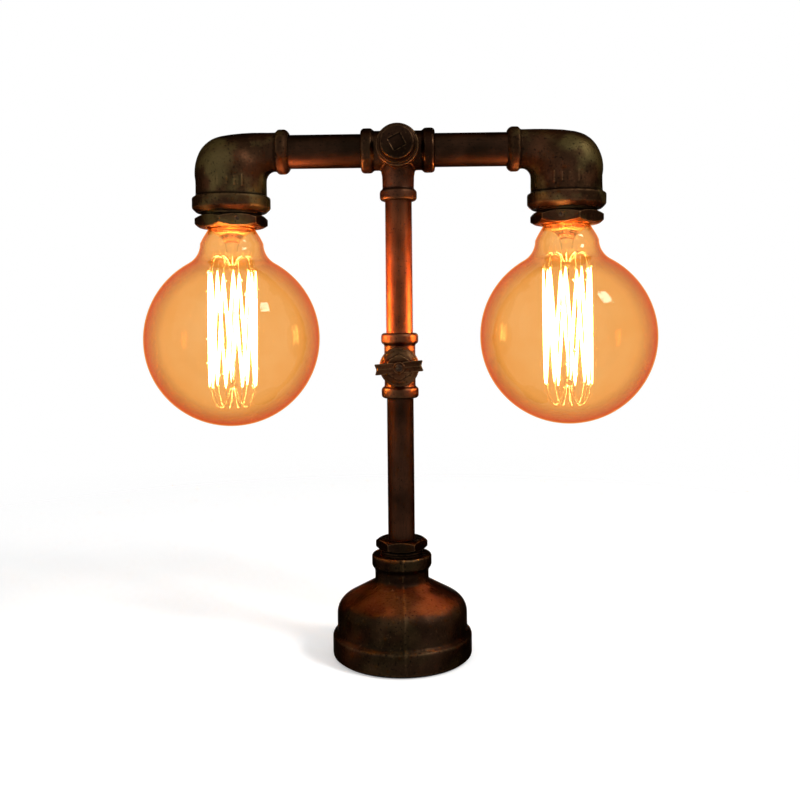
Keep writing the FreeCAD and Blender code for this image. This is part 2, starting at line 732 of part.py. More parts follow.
def ring_end(radius, neck, face, width, sign):
    """Corners of an end ring from the body out to its face."""
    step = "-" if sign > 0 else "+"
    return [
        (neck, f"{face} {step} {width} {step} 1.6"),
        (radius, f"{face} {step} {width}", f"ring_round * {width}"),
        (radius, face, f"ring_round * {width}"),
    ]


valve = new_body("valve_body")
low_end = ring_end("ring_radius", "valve_neck", "-valve_half", "ring_high", -1)
high_end = ring_end("ring_radius", "valve_neck", "valve_half", "ring_high", 1)
turned(
    valve,
    "run",
    "Z",
    [("0", "-valve_half")] + low_end[::-1] + high_end + [("0", "valve_half")],
)
turned(
    valve,
    "branch",
    "Y",
    [
        ("0", "0"),
        ("valve_neck - 1.2", "0"),
        ("branch_body", "-valve_neck"),
        ("branch_body", "-(branch_reach - 9.6)"),
        ("branch_band", "-(branch_reach - 8)", "1.2"),
        ("branch_band", "-branch_reach", "1.6"),
        ("0", "-branch_reach"),
    ],
)
bored(valve, "cavity", "Z", "valve_cavity", "-valve_half", "valve_half")
bored(valve, "low_thread", "Z", "riser_radius", "-valve_half", "-valve_half + engage")
bored(valve, "high_thread", "Z", "riser_radius", "valve_half - engage", "valve_half")
bored(valve, "branch_cavity", "Y", "branch_cavity", "-branch_reach", "0")
bored(valve, "branch_thread", "Y", "riser_radius", "-branch_reach", "-(branch_reach - bonnet_sleeve)")
place(valve, z="valve_height")

bonnet = new_body("valve_bonnet")
turned(
    bonnet,
    "bonnet",
    "Y",
    [
        ("switch_radius", "-(branch_reach - bonnet_sleeve)"),
        ("riser_radius", "-(branch_reach - bonnet_sleeve)"),
        ("riser_radius", "-branch_reach"),
        ("bonnet_radius", "-branch_reach"),
        ("bonnet_radius", f"-{BONNET_FACE}", "0.9"),
        ("spindle_radius + running", f"-{BONNET_FACE}"),
        ("spindle_radius + running", f"-{SWITCH_FACE}"),
        ("switch_radius", f"-{SWITCH_FACE}"),
    ],
)
gland_sketch = new_sketch(bonnet, "gland_outline", "XZ_Plane", BONNET_FACE)
hexagon(gland_sketch, "gland_flats", "0")
circles(gland_sketch, [("0", "0", "spindle_radius + running")])
padded(bonnet, "gland", gland_sketch, "gland_high")
gland_corner = "(gland_flats / 2 / cos(30) + 1)"
turned(
    bonnet,
    "gland_chamfer",
    "Y",
    [
        ("gland_flats / 2 - 0.3", f"-{GLAND_FACE}"),
        (gland_corner, f"-{GLAND_FACE} + ({gland_corner} - gland_flats / 2 + 0.3) * tan(30)"),
        (gland_corner, f"-{GLAND_FACE}"),
    ],
    cut=True,
)
place(bonnet, z="valve_height")

housing = new_body("switch_housing")
turned(
    housing,
    "housing",
    "Y",
    [
        ("spindle_radius + running", f"-{SWITCH_FACE}"),
        ("switch_radius", f"-{SWITCH_FACE}"),
        ("switch_radius", f"-{SWITCH_BACK}"),
        ("rotor_radius + rub_gap", f"-{SWITCH_BACK}"),
        ("rotor_radius + rub_gap", f"-{SWITCH_FACE} + 4"),
        ("spindle_radius + running", f"-{SWITCH_FACE} + 4"),
    ],
)
place(housing, z="valve_height")

TERMINAL_X = "(switch_radius * 0.55)"
cover = new_body("switch_cover")
turned(
    cover,
    "cover",
    "Y",
    [
        ("0", f"-{SWITCH_FACE} + 4 + rotor_long + 2 * rub_gap"),
        ("rotor_radius + rub_gap", f"-{SWITCH_FACE} + 4 + rotor_long + 2 * rub_gap"),
        ("rotor_radius + rub_gap", f"-{SWITCH_BACK}"),
        ("switch_radius", f"-{SWITCH_BACK}"),
        ("switch_radius", f"-{SWITCH_BACK} + cover_thick"),
        ("0", f"-{SWITCH_BACK} + cover_thick"),
    ],
)
post_sketch = new_sketch(cover, "post_outline", "XZ_Plane", f"{SWITCH_BACK} - cover_thick")
circles(post_sketch, [(f"-{TERMINAL_X}", "0", "1"), (TERMINAL_X, "0", "1")])
padded(cover, "posts", post_sketch, "cover_thick - 0.5", cut=True, flip=True)
place(cover, z="valve_height")

terminals = []
for k, sign in enumerate(("-", ""), start=1):
    x = f"{sign}{TERMINAL_X}"
    back = f"-{SWITCH_BACK} + cover_thick"
    into = f"{back} - cover_thick + 0.5"
    rear = Vector(0, 1, 0)
    stud = cylinder(f"stud{k}", "1", "cover_thick + 0.5", x, into, "valve_height", rear)
    top = cylinder(f"stud_head{k}", "1.9", "1.6", x, back, "valve_height", rear)
    terminals.append(joined(f"switch_terminal{k}", [stud, top]))
group("switch_terminals", terminals)

# the turning pieces: spindle with its rotor, handle and screw
spindle = new_body("switch_spindle")
turned(
    spindle,
    "spindle",
    "Y",
    [
        ("0", f"-{SWITCH_FACE} + 4 + rub_gap + rotor_long"),
        ("rotor_radius", f"-{SWITCH_FACE} + 4 + rub_gap + rotor_long"),
        ("rotor_radius", f"-{SWITCH_FACE} + 4 + rub_gap"),
        ("spindle_radius", f"-{SWITCH_FACE} + 4 + rub_gap"),
        ("spindle_radius", f"-{BAR_FACE} + 1"),
        ("knob_shank", f"-{BAR_FACE} + 1"),
        ("knob_shank", f"-{BAR_FACE} + knob_shank_long"),
        ("0", f"-{BAR_FACE} + knob_shank_long"),
    ],
)
place(spindle, z="valve_height")

handle = new_body("valve_handle")
turned(
    handle,
    "hub",
    "Y",
    [
        ("spindle_radius", f"-{BAR_BACK} + handle_hub_long"),
        ("handle_hub", f"-{BAR_BACK} + handle_hub_long"),
        ("handle_hub", f"-{BAR_FACE}", "0.8"),
        ("knob_shank", f"-{BAR_FACE}"),
        ("knob_shank", f"-{BAR_FACE} + 1"),
        ("spindle_radius", f"-{BAR_FACE} + 1"),
    ],
)
bar_sketch = new_sketch(handle, "bar_outline", "XZ_Plane", BAR_BACK)
fork = [
    ("handle_long / 2", "handle_high / 2", "0.5"),
    ("-handle_long / 2", "handle_high / 2", "0.5"),
    ("-handle_long / 2 + handle_notch", "0", "0.8"),
    ("-handle_long / 2", "-handle_high / 2", "0.5"),
    ("handle_long / 2", "-handle_high / 2", "0.5"),
    ("handle_long / 2 - handle_notch", "0", "0.8"),
]
outline(bar_sketch, fork)
circles(bar_sketch, [("0", "0", "spindle_radius")])
padded(handle, "bar", bar_sketch, "handle_thick - 1")
ridge_sketch = new_sketch(handle, "ridge_outline", "YZ_Plane", "-handle_long / 2 + handle_notch + 0.6")
outline(
    ridge_sketch,
    [
        (f"-{BAR_FACE} + 1.6", "-handle_high / 4"),
        (f"-{BAR_FACE} + 1", "-handle_high / 4"),
        (f"-{BAR_FACE} + 1 - handle_ridge", "0", "0.9"),
        (f"-{BAR_FACE} + 1", "handle_high / 4"),
        (f"-{BAR_FACE} + 1.6", "handle_high / 4"),
    ],
)
padded(handle, "ridge", ridge_sketch, "handle_long - 2 * handle_notch - 1.2")
bored(handle, "socket", "Y", "spindle_radius", f"-{BAR_FACE} + 1", f"-{BAR_BACK} + handle_hub_long")
bored(handle, "screw_hole", "Y", "knob_shank", f"-{BAR_FACE} - 2", f"-{BAR_FACE} + 1")
bored(handle, "screw_seat", "Y", "knob_screw + 0.2", f"-{BAR_FACE} - 3", f"-{BAR_FACE}")
handle.Placement.Rotation = FreeCAD.Rotation(Vector(0, 1, 0), -value("handle_tilt"))
handle.setExpression("Placement.Base.z", bound("valve_height"))

knob = new_body("handle_screw")
turned(
    knob,
    "screw",
    "Y",
    [
        ("0", f"-{BAR_FACE} + knob_shank_long"),
        ("knob_shank", f"-{BAR_FACE} + knob_shank_long"),
        ("knob_shank", f"-{BAR_FACE}"),
        ("knob_screw", f"-{BAR_FACE}"),
        ("knob_screw", f"-{BAR_FACE} - knob_screw_high", "1.1"),
        ("0", f"-{BAR_FACE} - knob_screw_high"),
    ],
)
slot_sketch = new_sketch(knob, "slot_outline", "XZ_Plane", f"{BAR_FACE} + knob_screw_high")
outline(
    slot_sketch,
    [("-4", "-0.45"), ("4", "-0.45"), ("4", "0.45"), ("-4", "0.45")],
)
padded(knob, "slot", slot_sketch, "0.9", cut=True)
place(knob, z="valve_height")

# ---------------------------------------------------------------------------
# Side-outlet tee, its plug and the arms
# ---------------------------------------------------------------------------

tee = new_body("side_outlet_tee")
left_bead = ring_end("tee_bead", "tee_body", "-tee_half", "tee_bead_wide", -1)
right_bead = ring_end("tee_bead", "tee_body", "tee_half", "tee_bead_wide", 1)
turned(tee, "run", "X", [("0", "-tee_half")] + left_bead[::-1] + right_bead + [("0", "tee_half")])
drop_ring = ring_end("ring_radius", "tee_branch", "-tee_drop", "ring_high", -1)
drop_body = [
    ("tee_branch + 0.3", "-tee_body - 5", "12"),
    ("tee_body - 1", "-tee_body + 5"),
    ("tee_body - 1", "0"),
    ("0", "0"),
]
turned(tee, "drop", "Z", [("0", "-tee_drop")] + drop_ring[::-1] + drop_body)
turned(
    tee,
    "port",
    "Y",
    [
        ("0", "0"),
        ("tee_body - 0.6", "0"),
        ("tee_body - 0.4", "-(port_reach - 9.4)"),
        ("port_band", "-(port_reach - 8)", "1"),
        ("port_band", "-port_reach", "1.6"),
        ("0", "-port_reach"),
    ],
)
bored(tee, "run_cavity", "X", "tee_cavity", "-tee_half", "tee_half")
bored(tee, "left_thread", "X", "arm_radius", "-tee_half", "-tee_half + engage")
bored(tee, "right_thread", "X", "arm_radius", "tee_half - engage", "tee_half")
bored(tee, "drop_cavity", "Z", "valve_cavity", "-tee_drop", "0")
bored(tee, "drop_thread", "Z", "riser_radius", "-tee_drop", "-tee_drop + engage")
bored(tee, "port_cavity", "Y", "port_cavity", "-port_reach", "0")
bored(tee, "port_thread", "Y", "plug_thread", "-port_reach", "-(port_reach - plug_engage)")
place(tee, z="run_height")

plug = new_body("face_plug")
PLUG_FACE = "(port_reach + plug_flange_thick + plug_boss_high)"
turned(
    plug,
    "plug",
    "Y",
    [
        ("0", "-(port_reach - plug_engage)"),
        ("plug_thread", "-(port_reach - plug_engage)"),
        ("plug_thread", "-port_reach"),
        ("plug_flange", "-port_reach"),
        ("plug_flange", "-(port_reach + plug_flange_thick)", "1.2"),
        ("plug_boss", "-(port_reach + 1.27 * plug_flange_thick)"),
        ("plug_boss", f"-{PLUG_FACE}", "1.3"),
        ("0", f"-{PLUG_FACE}"),
    ],
)
square_sketch = new_sketch(plug, "square_outline", "XZ_Plane", PLUG_FACE)
half_diagonal = "plug_square / 2 / cos(45)"
square = []
for k in range(4):
    angle = f"(plug_square_turn + {45 + 90 * k})"
    square.append((f"{half_diagonal} * cos{angle}", f"{half_diagonal} * sin{angle}"))
outline(square_sketch, square)
padded(plug, "square", square_sketch, "plug_square_deep", cut=True)
place(plug, z="run_height")

for side, sign in (("left", "-"), ("right", "")):
    inner = f"{sign}(tee_half - engage)"
    outer = f"{sign}(arm_reach - elbow_side + arm_engage)"
    arm = pipe(f"arm_pipe_{side}", "X", "arm_radius", "arm_bore", inner, outer)
    place(arm, z="run_height")

# ---------------------------------------------------------------------------
# Reducing elbows
# ---------------------------------------------------------------------------

# Each section of the bend is a circle in a plane that swings about the
# middle of the throat's rounding, from flat at the large port to upright
# at the small one.
PIVOT_X = "(elbow_large + elbow_throat)"
PIVOT_Z = "(-elbow_small - elbow_throat)"
SWINGS = [0, 15, 30, 45, 60, 75, 90]


def bend(wall):
    """Loft of the circles, drawn in by the wall for the inside."""
    a = value("2 * elbow_large + elbow_throat")
    b = value("2 * elbow_small + elbow_throat")
    power = value("elbow_square")
    rings = []
    for swing in SWINGS:
        t = math.radians(swing)
        far = ((math.cos(t) / a) ** power + (math.sin(t) / b) ** power) ** (-1 / power) - wall
        near = value("elbow_throat") + wall
        pivot = Vector(value(PIVOT_X), 0, value(PIVOT_Z))
        middle = pivot - Vector((far + near) / 2, 0, 0)
        flat = Part.Circle(middle, Vector(0, 0, 1), (far - near) / 2).toShape()
        flat.rotate(pivot, Vector(0, 1, 0), swing)
        rings.append(Part.Wire([flat]))
    return Part.makeLoft(rings, True, False)


def ring_solid(corners, axis):
    """A solid of revolution from sheet values, about X or Z through the origin."""
    points = []
    for radius, along in corners:
        r, d = value(radius), value(along)
        points.append(Vector(d, 0, r) if axis == "X" else Vector(r, 0, d))
    face = Part.Face(Part.makePolygon(points + [points[0]]))
    direction = Vector(1, 0, 0) if axis == "X" else Vector(0, 0, 1)
    return face.revolve(Vector(0, 0, 0), direction, 360)


def elbow_shape():
    collar = ring_solid(
        [
            ("0", "-elbow_drop"),
            ("collar_radius - collar_slope", "-elbow_drop"),
            ("collar_radius", "-elbow_drop + collar_slope"),
            ("collar_radius", "-elbow_drop + collar_slope + 0.9 * collar_high"),
            ("collar_radius - 0.1 * collar_high", "-elbow_drop + collar_slope + collar_high"),
            ("elbow_large", "-elbow_drop + collar_slope + 1.07 * collar_high"),
            ("elbow_large", PIVOT_Z),
            ("0", PIVOT_Z),
        ],
        "Z",
    )
    bead = ring_solid(
        [
            ("0", PIVOT_X),
            ("elbow_small", PIVOT_X),
            ("elbow_small", "elbow_side - elbow_bead_wide"),
            ("0.97 * tee_bead", "elbow_side - 0.88 * elbow_bead_wide"),
            ("tee_bead", "elbow_side - 0.79 * elbow_bead_wide"),
            ("tee_bead", "elbow_side - 0.33 * elbow_bead_wide"),
            ("0.95 * tee_bead", "elbow_side - 0.17 * elbow_bead_wide"),
            ("0.84 * tee_bead", "elbow_side"),
            ("0", "elbow_side"),
        ],
        "X",
    )
    large_bore = ring_solid(
        [
            ("0", "-elbow_drop"),
            ("nut_thread", "-elbow_drop"),
            ("nut_thread", "-elbow_drop + elbow_engage"),
            ("elbow_large - elbow_wall", "-elbow_drop + 1.03 * elbow_engage"),
            ("elbow_large - elbow_wall", PIVOT_Z),
            ("0", PIVOT_Z),
        ],
        "Z",
    )
    small_bore = ring_solid(
        [
            ("0", PIVOT_X),
            ("elbow_small - elbow_wall", PIVOT_X),
            ("elbow_small - elbow_wall", "elbow_side - arm_engage"),
            ("arm_radius", "elbow_side - arm_engage"),
            ("arm_radius", "elbow_side"),
            ("0", "elbow_side"),
        ],
        "X",
    )
    outside = bend(0).fuse([collar, bead])
    inside = bend(value("elbow_wall")).fuse([large_bore, small_bore])
    return outside.cut(inside)


for side, sign, turn in (("left", -1, 0), ("right", 1, 180)):
    where = FreeCAD.Placement(
        Vector(sign * value("arm_reach"), 0, value("run_height")), FreeCAD.Rotation(Vector(0, 0, 1), turn)
    )
    set_shape(f"elbow_{side}", elbow_shape(), where)

# ---------------------------------------------------------------------------
# Socket nuts and lampholders
# ---------------------------------------------------------------------------

for side, sign in (("left", "-"), ("right", "")):
    x = f"{sign}arm_reach"
    turn = f"nut_turn_{side}"

    nut = new_body(f"socket_nut_{side}")
    turned(
        nut,
        "sleeve",
        "Z",
        [
            ("nut_mouth", f"-{NUT_LOW}"),
            ("nut_mouth + 3", f"-{NUT_LOW}"),
            ("nut_thread", f"-{NUT_TOP}"),
            ("nut_thread", "-elbow_drop + elbow_engage", "0.6"),
            ("holder_flange", "-elbow_drop + elbow_engage"),
            ("holder_flange", f"-{SEAT}"),
            ("nut_mouth", f"-{SEAT}"),
        ],
    )
    nut_sketch = new_sketch(nut, "hex_outline", "XY_Plane", f"-{NUT_LOW}")
    hexagon(nut_sketch, "nut_flats", f"({turn} - 90)")
    circles(nut_sketch, [("0", "0", "holder_flange + 0.5")])
    padded(nut, "hex", nut_sketch, "nut_high")
    hex_chamfers(nut, "nut_chamfer", "Z", "nut_flats", f"-{NUT_LOW}", f"-{NUT_TOP}")
    grub_at = f"(-{NUT_TOP} - nut_high * 0.42)"
    grub_low = "holder_flange"
    grub_high = "nut_flats / 2 - grub_sink"
    grub_sketch = new_sketch(nut, "grub_outline", "XZ_Plane")
    grub_sketch.AttachmentOffset.Rotation = FreeCAD.Rotation(Vector(0, 1, 0), value(turn))
    circles(grub_sketch, [("0", grub_at, "grub_radius")])
    padded(nut, "grub_hole", grub_sketch, "nut_flats", cut=True, flip=True)
    place(nut, x=x, z="run_height")

    grub = new_body(f"socket_set_screw_{side}")
    turned(
        grub,
        "screw",
        "Y",
        [
            ("0", f"-({grub_low})"),
            ("grub_radius", f"-({grub_low})"),
            ("grub_radius", f"-({grub_high})"),
            ("grub_radius * 0.5", f"-({grub_high})"),
            ("grub_radius * 0.5", f"-({grub_high} - 1.2)"),
            ("0", f"-({grub_high} - 1.2)"),
        ],
    )
    place(grub, x=x, z=f"run_height + {grub_at}", turn=value(turn))

    holder = new_body(f"lampholder_{side}")
    turned(
        holder,
        "porcelain",
        "Z",
        [
            ("shell_radius + shell_wall", f"-{SEAT}"),
            ("holder_flange", f"-{SEAT}"),
            ("holder_flange", f"-{SEAT} + holder_flange_high"),
            ("holder_radius", f"-{SEAT} + holder_flange_high"),
            ("holder_radius", f"-{CEILING} + holder_top", "2"),
            ("0", f"-{CEILING} + holder_top"),
            ("0", f"-{CEILING}"),
            ("shell_radius + shell_wall", f"-{CEILING}"),
        ],
    )
    place(holder, x=x, z="run_height")

    shell = new_body(f"screw_shell_{side}")
    turned(
        shell,
        "shell",
        "Z",
        [
            ("shell_radius", f"-{SEAT} + shell_inset"),
            ("shell_radius + shell_wall", f"-{SEAT} + shell_inset"),
            ("shell_radius + shell_wall", f"-{CEILING}"),
            ("shell_radius - 3", f"-{CEILING}"),
            ("shell_radius - 3", f"-{CEILING} - shell_wall"),
            ("shell_radius", f"-{CEILING} - shell_wall"),
        ],
    )
    place(shell, x=x, z="run_height")

    contact = new_body(f"centre_contact_{side}")
    turned(
        contact,
        "contact",
        "Z",
        [
            ("0", f"-{CEILING} - contact_high"),
            ("contact_radius", f"-{CEILING} - contact_high", "0.5"),
            ("contact_radius", f"-{CEILING}"),
            ("0", f"-{CEILING}"),
        ],
    )
    place(contact, x=x, z="run_height")

    heads = []
    for k, step in enumerate(("-", "+"), start=1):
        heads.append(
            cylinder(
                f"holder_head_{side}{k}",
                "holder_screw",
                "2.2",
                f"{x} {step} holder_radius / 2",
                "0",
                f"run_height - {CEILING} + holder_top",
            )
        )
    group(f"holder_terminals_{side}", heads)

# ---------------------------------------------------------------------------
# Bulbs
# ---------------------------------------------------------------------------

CAP_TOP = f"({EYELET_TOP} - eyelet_high - insulator_high)"


def globe_outline(inset):
    """Half section of the glass from the cap to the foot of the globe."""
    radius = value("globe_radius") - inset
    neck = value("throat_radius") - inset
    blend = value("throat_blend") + inset
    middle = value(GLOBE_MIDDLE)
    neck_end = value(NECK_END)
    mouth = value(HOLDER_MOUTH)
    low = value(CAP_LOW)
    narrow = value("glass_shoulder") - inset
    tube = value("cap_radius - thread_deep - cap_wall") - inset
    points = [
        Vector(tube, 0, low + 6),
        Vector(tube, 0, low - 0.6 - inset),
        Vector(narrow, 0, low - 1.2 - inset),
        Vector(narrow, 0, mouth - value("shoulder_drop")),
        Vector(neck - value("throat_taper"), 0, mouth - value("throat_top")),
        Vector(neck, 0, neck_end),
    ]
    runs = [Part.LineSegment(a, b).toShape() for a, b in zip(points, points[1:])]
    # the blend's arc leaves the neck upright and meets the globe tangentially
    hub = Vector(neck + blend, 0, neck_end)
    ball = Vector(0, 0, middle)
    touch = ball + (hub - ball).normalize() * radius
    halfway = ((points[-1] - hub).normalize() + (touch - hub).normalize()).normalize()
    runs.append(Part.Arc(points[-1], hub + halfway * blend, touch).toShape())
    side = Vector(math.cos(-0.2), 0, math.sin(-0.2))
    runs.append(Part.Arc(touch, ball + side * radius, ball - Vector(0, 0, radius)).toShape())
    return runs


def glass_shape():
    """The blown glass, an even wall between two outlines, turned about Z."""
    outer = globe_outline(0)
    inner = globe_outline(value("glass_wall"))
    ends = []
    for k in (0, -1):
        a, b = outer[k].Vertexes[k].Point, inner[k].Vertexes[k].Point
        ends.append(Part.LineSegment(a, b).toShape())
    wire = Part.Wire(Part.__sortEdges__(outer + inner + ends))
    return Part.Face(wire).revolve(Vector(0, 0, 0), Vector(0, 0, 1), 360)


def wire_run(points, radius):
    """Thin wire through points, with a ball at every bend."""
    parts = []
    for a, b in zip(points, points[1:]):
        parts.append(Part.makeCylinder(radius, (b - a).Length, a, b - a))
    for p in points[1:-1]:
        parts.append(Part.makeSphere(radius, p))
    return parts[0].fuse(parts[1:]) if len(parts) > 1 else parts[0]


def ring_point(radius, height, degrees):
    t = math.radians(degrees)
    return Vector(radius * math.cos(t), radius * math.sin(t), height)


def filament_shape():
    """One wire that runs up and down between the hooks, open at one gap."""
    step = 360 / HOOKS
    points = []
    for k in range(HOOKS):
        points.append(ring_point(value("cage_radius"), value(CAGE_TOP), step * k))
        points.append(ring_point(value("cage_radius"), value(CAGE_BOTTOM), step * (k + 0.5)))
    return wire_run(points, value("filament_wire"))


def hooks_shape():
    """Support wires from each button out to the cage."""
    step = 360 / HOOKS
    reach = value("cage_radius - filament_wire")
    wires = []
    for k in range(HOOKS):
        high = (BUTTON_TOP, f"{BUTTON_TOP} + hook_arch", 0.66, CAGE_TOP, step * k)
        low = (BUTTON_LOW, f"{BUTTON_LOW} - hook_dip", 0.62, CAGE_BOTTOM, step * (k + 0.5))
        for button, bent, share, end, angle in (high, low):
            knee, level = value(bent), value(end)
            centre = Vector(0, 0, value(button))
            elbow = ring_point(reach * share, knee, angle)
            root = centre + (elbow - centre).normalize() * value("button_radius")
            hook = [root, elbow, ring_point(reach - 1.2, level, angle), ring_point(reach, level, angle)]
            wires.append(wire_run(hook, value("hook_wire")))
    return Part.makeCompound(wires)


def stem_shape():
    """Flared glass stem with its rod and the two buttons."""
    top = value(STEM_TOP)
    flare = value("glass_shoulder - glass_wall")
    tube = value("stem_tube")
    long = value("stem_flare")
    points = [
        Vector(0, 0, top),
        Vector(flare, 0, top),
        Vector(flare, 0, top - 1),
        Vector(tube * 1.6, 0, top - long * 0.45),
        Vector(tube, 0, top - long * 0.8),
        Vector(tube, 0, top - long),
        Vector(value("rod_radius"), 0, top - long - 2),
        Vector(value("rod_radius"), 0, value(BUTTON_LOW)),
        Vector(0, 0, value(BUTTON_LOW)),
    ]
    body = Part.Face(Part.makePolygon(points + [points[0]])).revolve(Vector(0, 0, 0), Vector(0, 0, 1), 360)
    buttons = [
        Part.makeSphere(value("button_radius"), Vector(0, 0, value(level)))
        for level in (BUTTON_TOP, BUTTON_LOW)
    ]
    return body.fuse(buttons)


for side, sign, spin in (("left", "-", 4), ("right", "", 17)):
    x = f"{sign}arm_reach"
    cap = new_body(f"bulb_cap_{side}")
    crest = "cap_radius"
    turned(
        cap,
        "cap",
        "Z",
        [
            ("cap_radius - thread_deep - cap_wall", CAP_LOW),
            (crest, CAP_LOW, "0.4"),
            (crest, f"{CAP_TOP} - 1", "0.6"),
            ("cap_radius - 1.4", CAP_TOP),
            ("cap_radius - 1.4 - cap_wall", CAP_TOP),
            ("cap_radius - thread_deep - cap_wall", f"{CAP_TOP} - 1"),
        ],
    )
    thread_rings(cap, "cap_ring", "Z", crest, f"{CAP_LOW} + 1.4", "thread_pitch", "thread_deep", 5)
    place(cap, x=x)

    insulator = new_body(f"cap_insulator_{side}")
    turned(
        insulator,
        "insulator",
        "Z",
        [
            ("0", f"{EYELET_TOP} - eyelet_high - insulator_high"),
            ("cap_radius - 1.4", f"{EYELET_TOP} - eyelet_high - insulator_high"),
            ("eyelet_radius + 1", f"{EYELET_TOP} - eyelet_high"),
            ("0", f"{EYELET_TOP} - eyelet_high"),
        ],
    )
    place(insulator, x=x)

    eyelet = new_body(f"cap_eyelet_{side}")
    turned(
        eyelet,
        "eyelet",
        "Z",
        [
            ("0", f"{EYELET_TOP} - eyelet_high"),
            ("eyelet_radius", f"{EYELET_TOP} - eyelet_high"),
            ("eyelet_radius", EYELET_TOP, "1"),
            ("0", EYELET_TOP),
        ],
    )
    place(eyelet, x=x)

    where = FreeCAD.Placement(Vector(value(x), 0, 0), FreeCAD.Rotation(Vector(0, 0, 1), spin))
    set_shape(f"bulb_glass_{side}", glass_shape(), where)
    set_shape(f"bulb_stem_{side}", stem_shape(), where)
    set_shape(f"filament_hooks_{side}", hooks_shape(), where)
    set_shape(f"filament_{side}", filament_shape(), where)

# ---------------------------------------------------------------------------
# Inner wiring
# ---------------------------------------------------------------------------

doc.recompute()

block_top = value(f"{BALLAST_TOP} + block_high")
back = value("block_back")
valve_z = value("valve_height")
run_z = value("run_height")
reach = value("arm_reach")
radius = value("flex_radius")
switch_y = value(f"-{SWITCH_BACK} + cover_thick + 1.6")
pass_y = 4.2
sway = value("flex_sway")

set_shape(
    "flex_lower",
    flex(
        [
            Vector(0, back + 1, block_top),
            Vector(0, back + 1, block_top + 9),
            Vector(0, 2, block_top + 24),
            Vector(1.5, 1, block_top + sway),
            Vector(-1, 2, valve_z - sway),
            Vector(0, 3, valve_z - 22),
            Vector(0, switch_y + radius, valve_z - 4),
        ],
        radius,
    ),
)
connector_z = run_z - value("cap_nut_long") / 2
set_shape(
    "flex_upper",
    flex(
        [
            Vector(0, switch_y + radius + 1.5, valve_z + 2),
            Vector(0, pass_y, valve_z + 26),
            Vector(0.8, 2, valve_z + sway),
            Vector(-0.8, 1, run_z - sway),
            Vector(0, 0, connector_z - 16),
            Vector(0, 0, connector_z),
        ],
        radius,
    ),
)
connector_x = value("cap_nut_radius") * 1.24
connectors = []
for shift in (-1, 1):
    foot = Vector(shift * connector_x, 0, connector_z)
    wide = value("cap_nut_radius")
    connectors.append(Part.makeCone(wide, wide * 0.7, value("cap_nut_long"), foot, Vector(0, 0, 1)))
set_shape("wire_connectors", Part.makeCompound(connectors))
for side, sign in (("left", -1), ("right", 1)):
    top = value(f"run_height - {CEILING} + holder_top + holder_screw")
    start = connector_x + value("cap_nut_radius")
    post = reach - value("holder_radius / 2")
    set_shape(
        f"flex_{side}",
        flex(
            [
                Vector(sign * start, 0, connector_z + radius),
                Vector(sign * reach * 0.34, 0, run_z - radius * 1.8),
                Vector(sign * reach * 0.7, 0, run_z - radius * 1.2),
                Vector(sign * post, 0, top + radius * 8.2),
                Vector(sign * post, 0, top),
            ],
            radius,
        ),
    )

# ---------------------------------------------------------------------------
# Checks and files
# ---------------------------------------------------------------------------

doc.recompute()
for thing in doc.Objects:
    bad = [state for state in thing.State if state in ("Invalid", "Error")]
    if bad:
        raise RuntimeError(f"{thing.Label} is {bad}")
for piece in made:
    if piece.Shape.isNull() or not piece.Shape.isValid() or not piece.Shape.Solids:
        raise RuntimeError(f"{piece.Label} has no sound shape")

os.makedirs("parts", exist_ok=True)
for piece in made:
    piece.Shape.exportStep(f"parts/{piece.Label}.step")
    print(f"{piece.Label}: {len(piece.Shape.Solids)} solid(s), {piece.Shape.Volume / 1000:.2f} cm3")
box = Part.makeCompound([piece.Shape for piece in made]).optimalBoundingBox(False, False)
sides = " x ".join(f"{side:.1f}" for side in (box.XLength, box.YLength, box.ZLength))
print(f"{len(made)} nodes, {sides} mm, lowest {box.ZMin:.3f}")
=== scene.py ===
# %% [markdown]
# # Industrial pipe table lamp
# A lamp screwed together from plumber's fittings: a bell reducer as the
# foot, a half-inch column with a valve that works the switch, a tee, two
# arms, and two elbows that hold amber globe bulbs.
#
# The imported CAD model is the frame. It says where each piece is and how it
# moves. This script gives the pieces their skin: the sand-cast iron, the
# drawn pipe, the blown glass and the glowing filament.

# %% Load the frame
import bmesh
import bpy
import json
import math
import numpy as np
from mathutils import Matrix, Vector


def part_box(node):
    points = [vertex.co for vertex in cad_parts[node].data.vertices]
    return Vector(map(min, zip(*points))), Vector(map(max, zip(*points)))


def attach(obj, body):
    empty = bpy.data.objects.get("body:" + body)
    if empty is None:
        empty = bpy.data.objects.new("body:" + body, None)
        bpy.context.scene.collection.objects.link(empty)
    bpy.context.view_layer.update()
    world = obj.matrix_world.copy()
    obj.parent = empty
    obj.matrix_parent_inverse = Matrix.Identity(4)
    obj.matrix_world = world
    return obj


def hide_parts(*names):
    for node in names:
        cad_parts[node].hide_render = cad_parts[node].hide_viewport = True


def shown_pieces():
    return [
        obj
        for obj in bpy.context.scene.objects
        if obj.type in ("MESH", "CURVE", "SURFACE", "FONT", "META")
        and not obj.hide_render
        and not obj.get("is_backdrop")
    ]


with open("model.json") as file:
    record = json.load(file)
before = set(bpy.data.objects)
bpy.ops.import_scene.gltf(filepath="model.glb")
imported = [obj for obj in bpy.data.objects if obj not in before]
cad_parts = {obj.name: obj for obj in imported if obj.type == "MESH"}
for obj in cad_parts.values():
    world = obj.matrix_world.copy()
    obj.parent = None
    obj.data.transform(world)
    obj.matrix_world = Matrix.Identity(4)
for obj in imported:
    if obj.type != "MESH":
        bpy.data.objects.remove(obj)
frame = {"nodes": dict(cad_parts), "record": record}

MM = 0.001
scene = bpy.context.scene
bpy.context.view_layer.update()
nodes = frame["nodes"]
bodies = frame["record"]["behaviour"]["bodies"]
body_of_node = {node: body for body, members in bodies.items() for node in members}


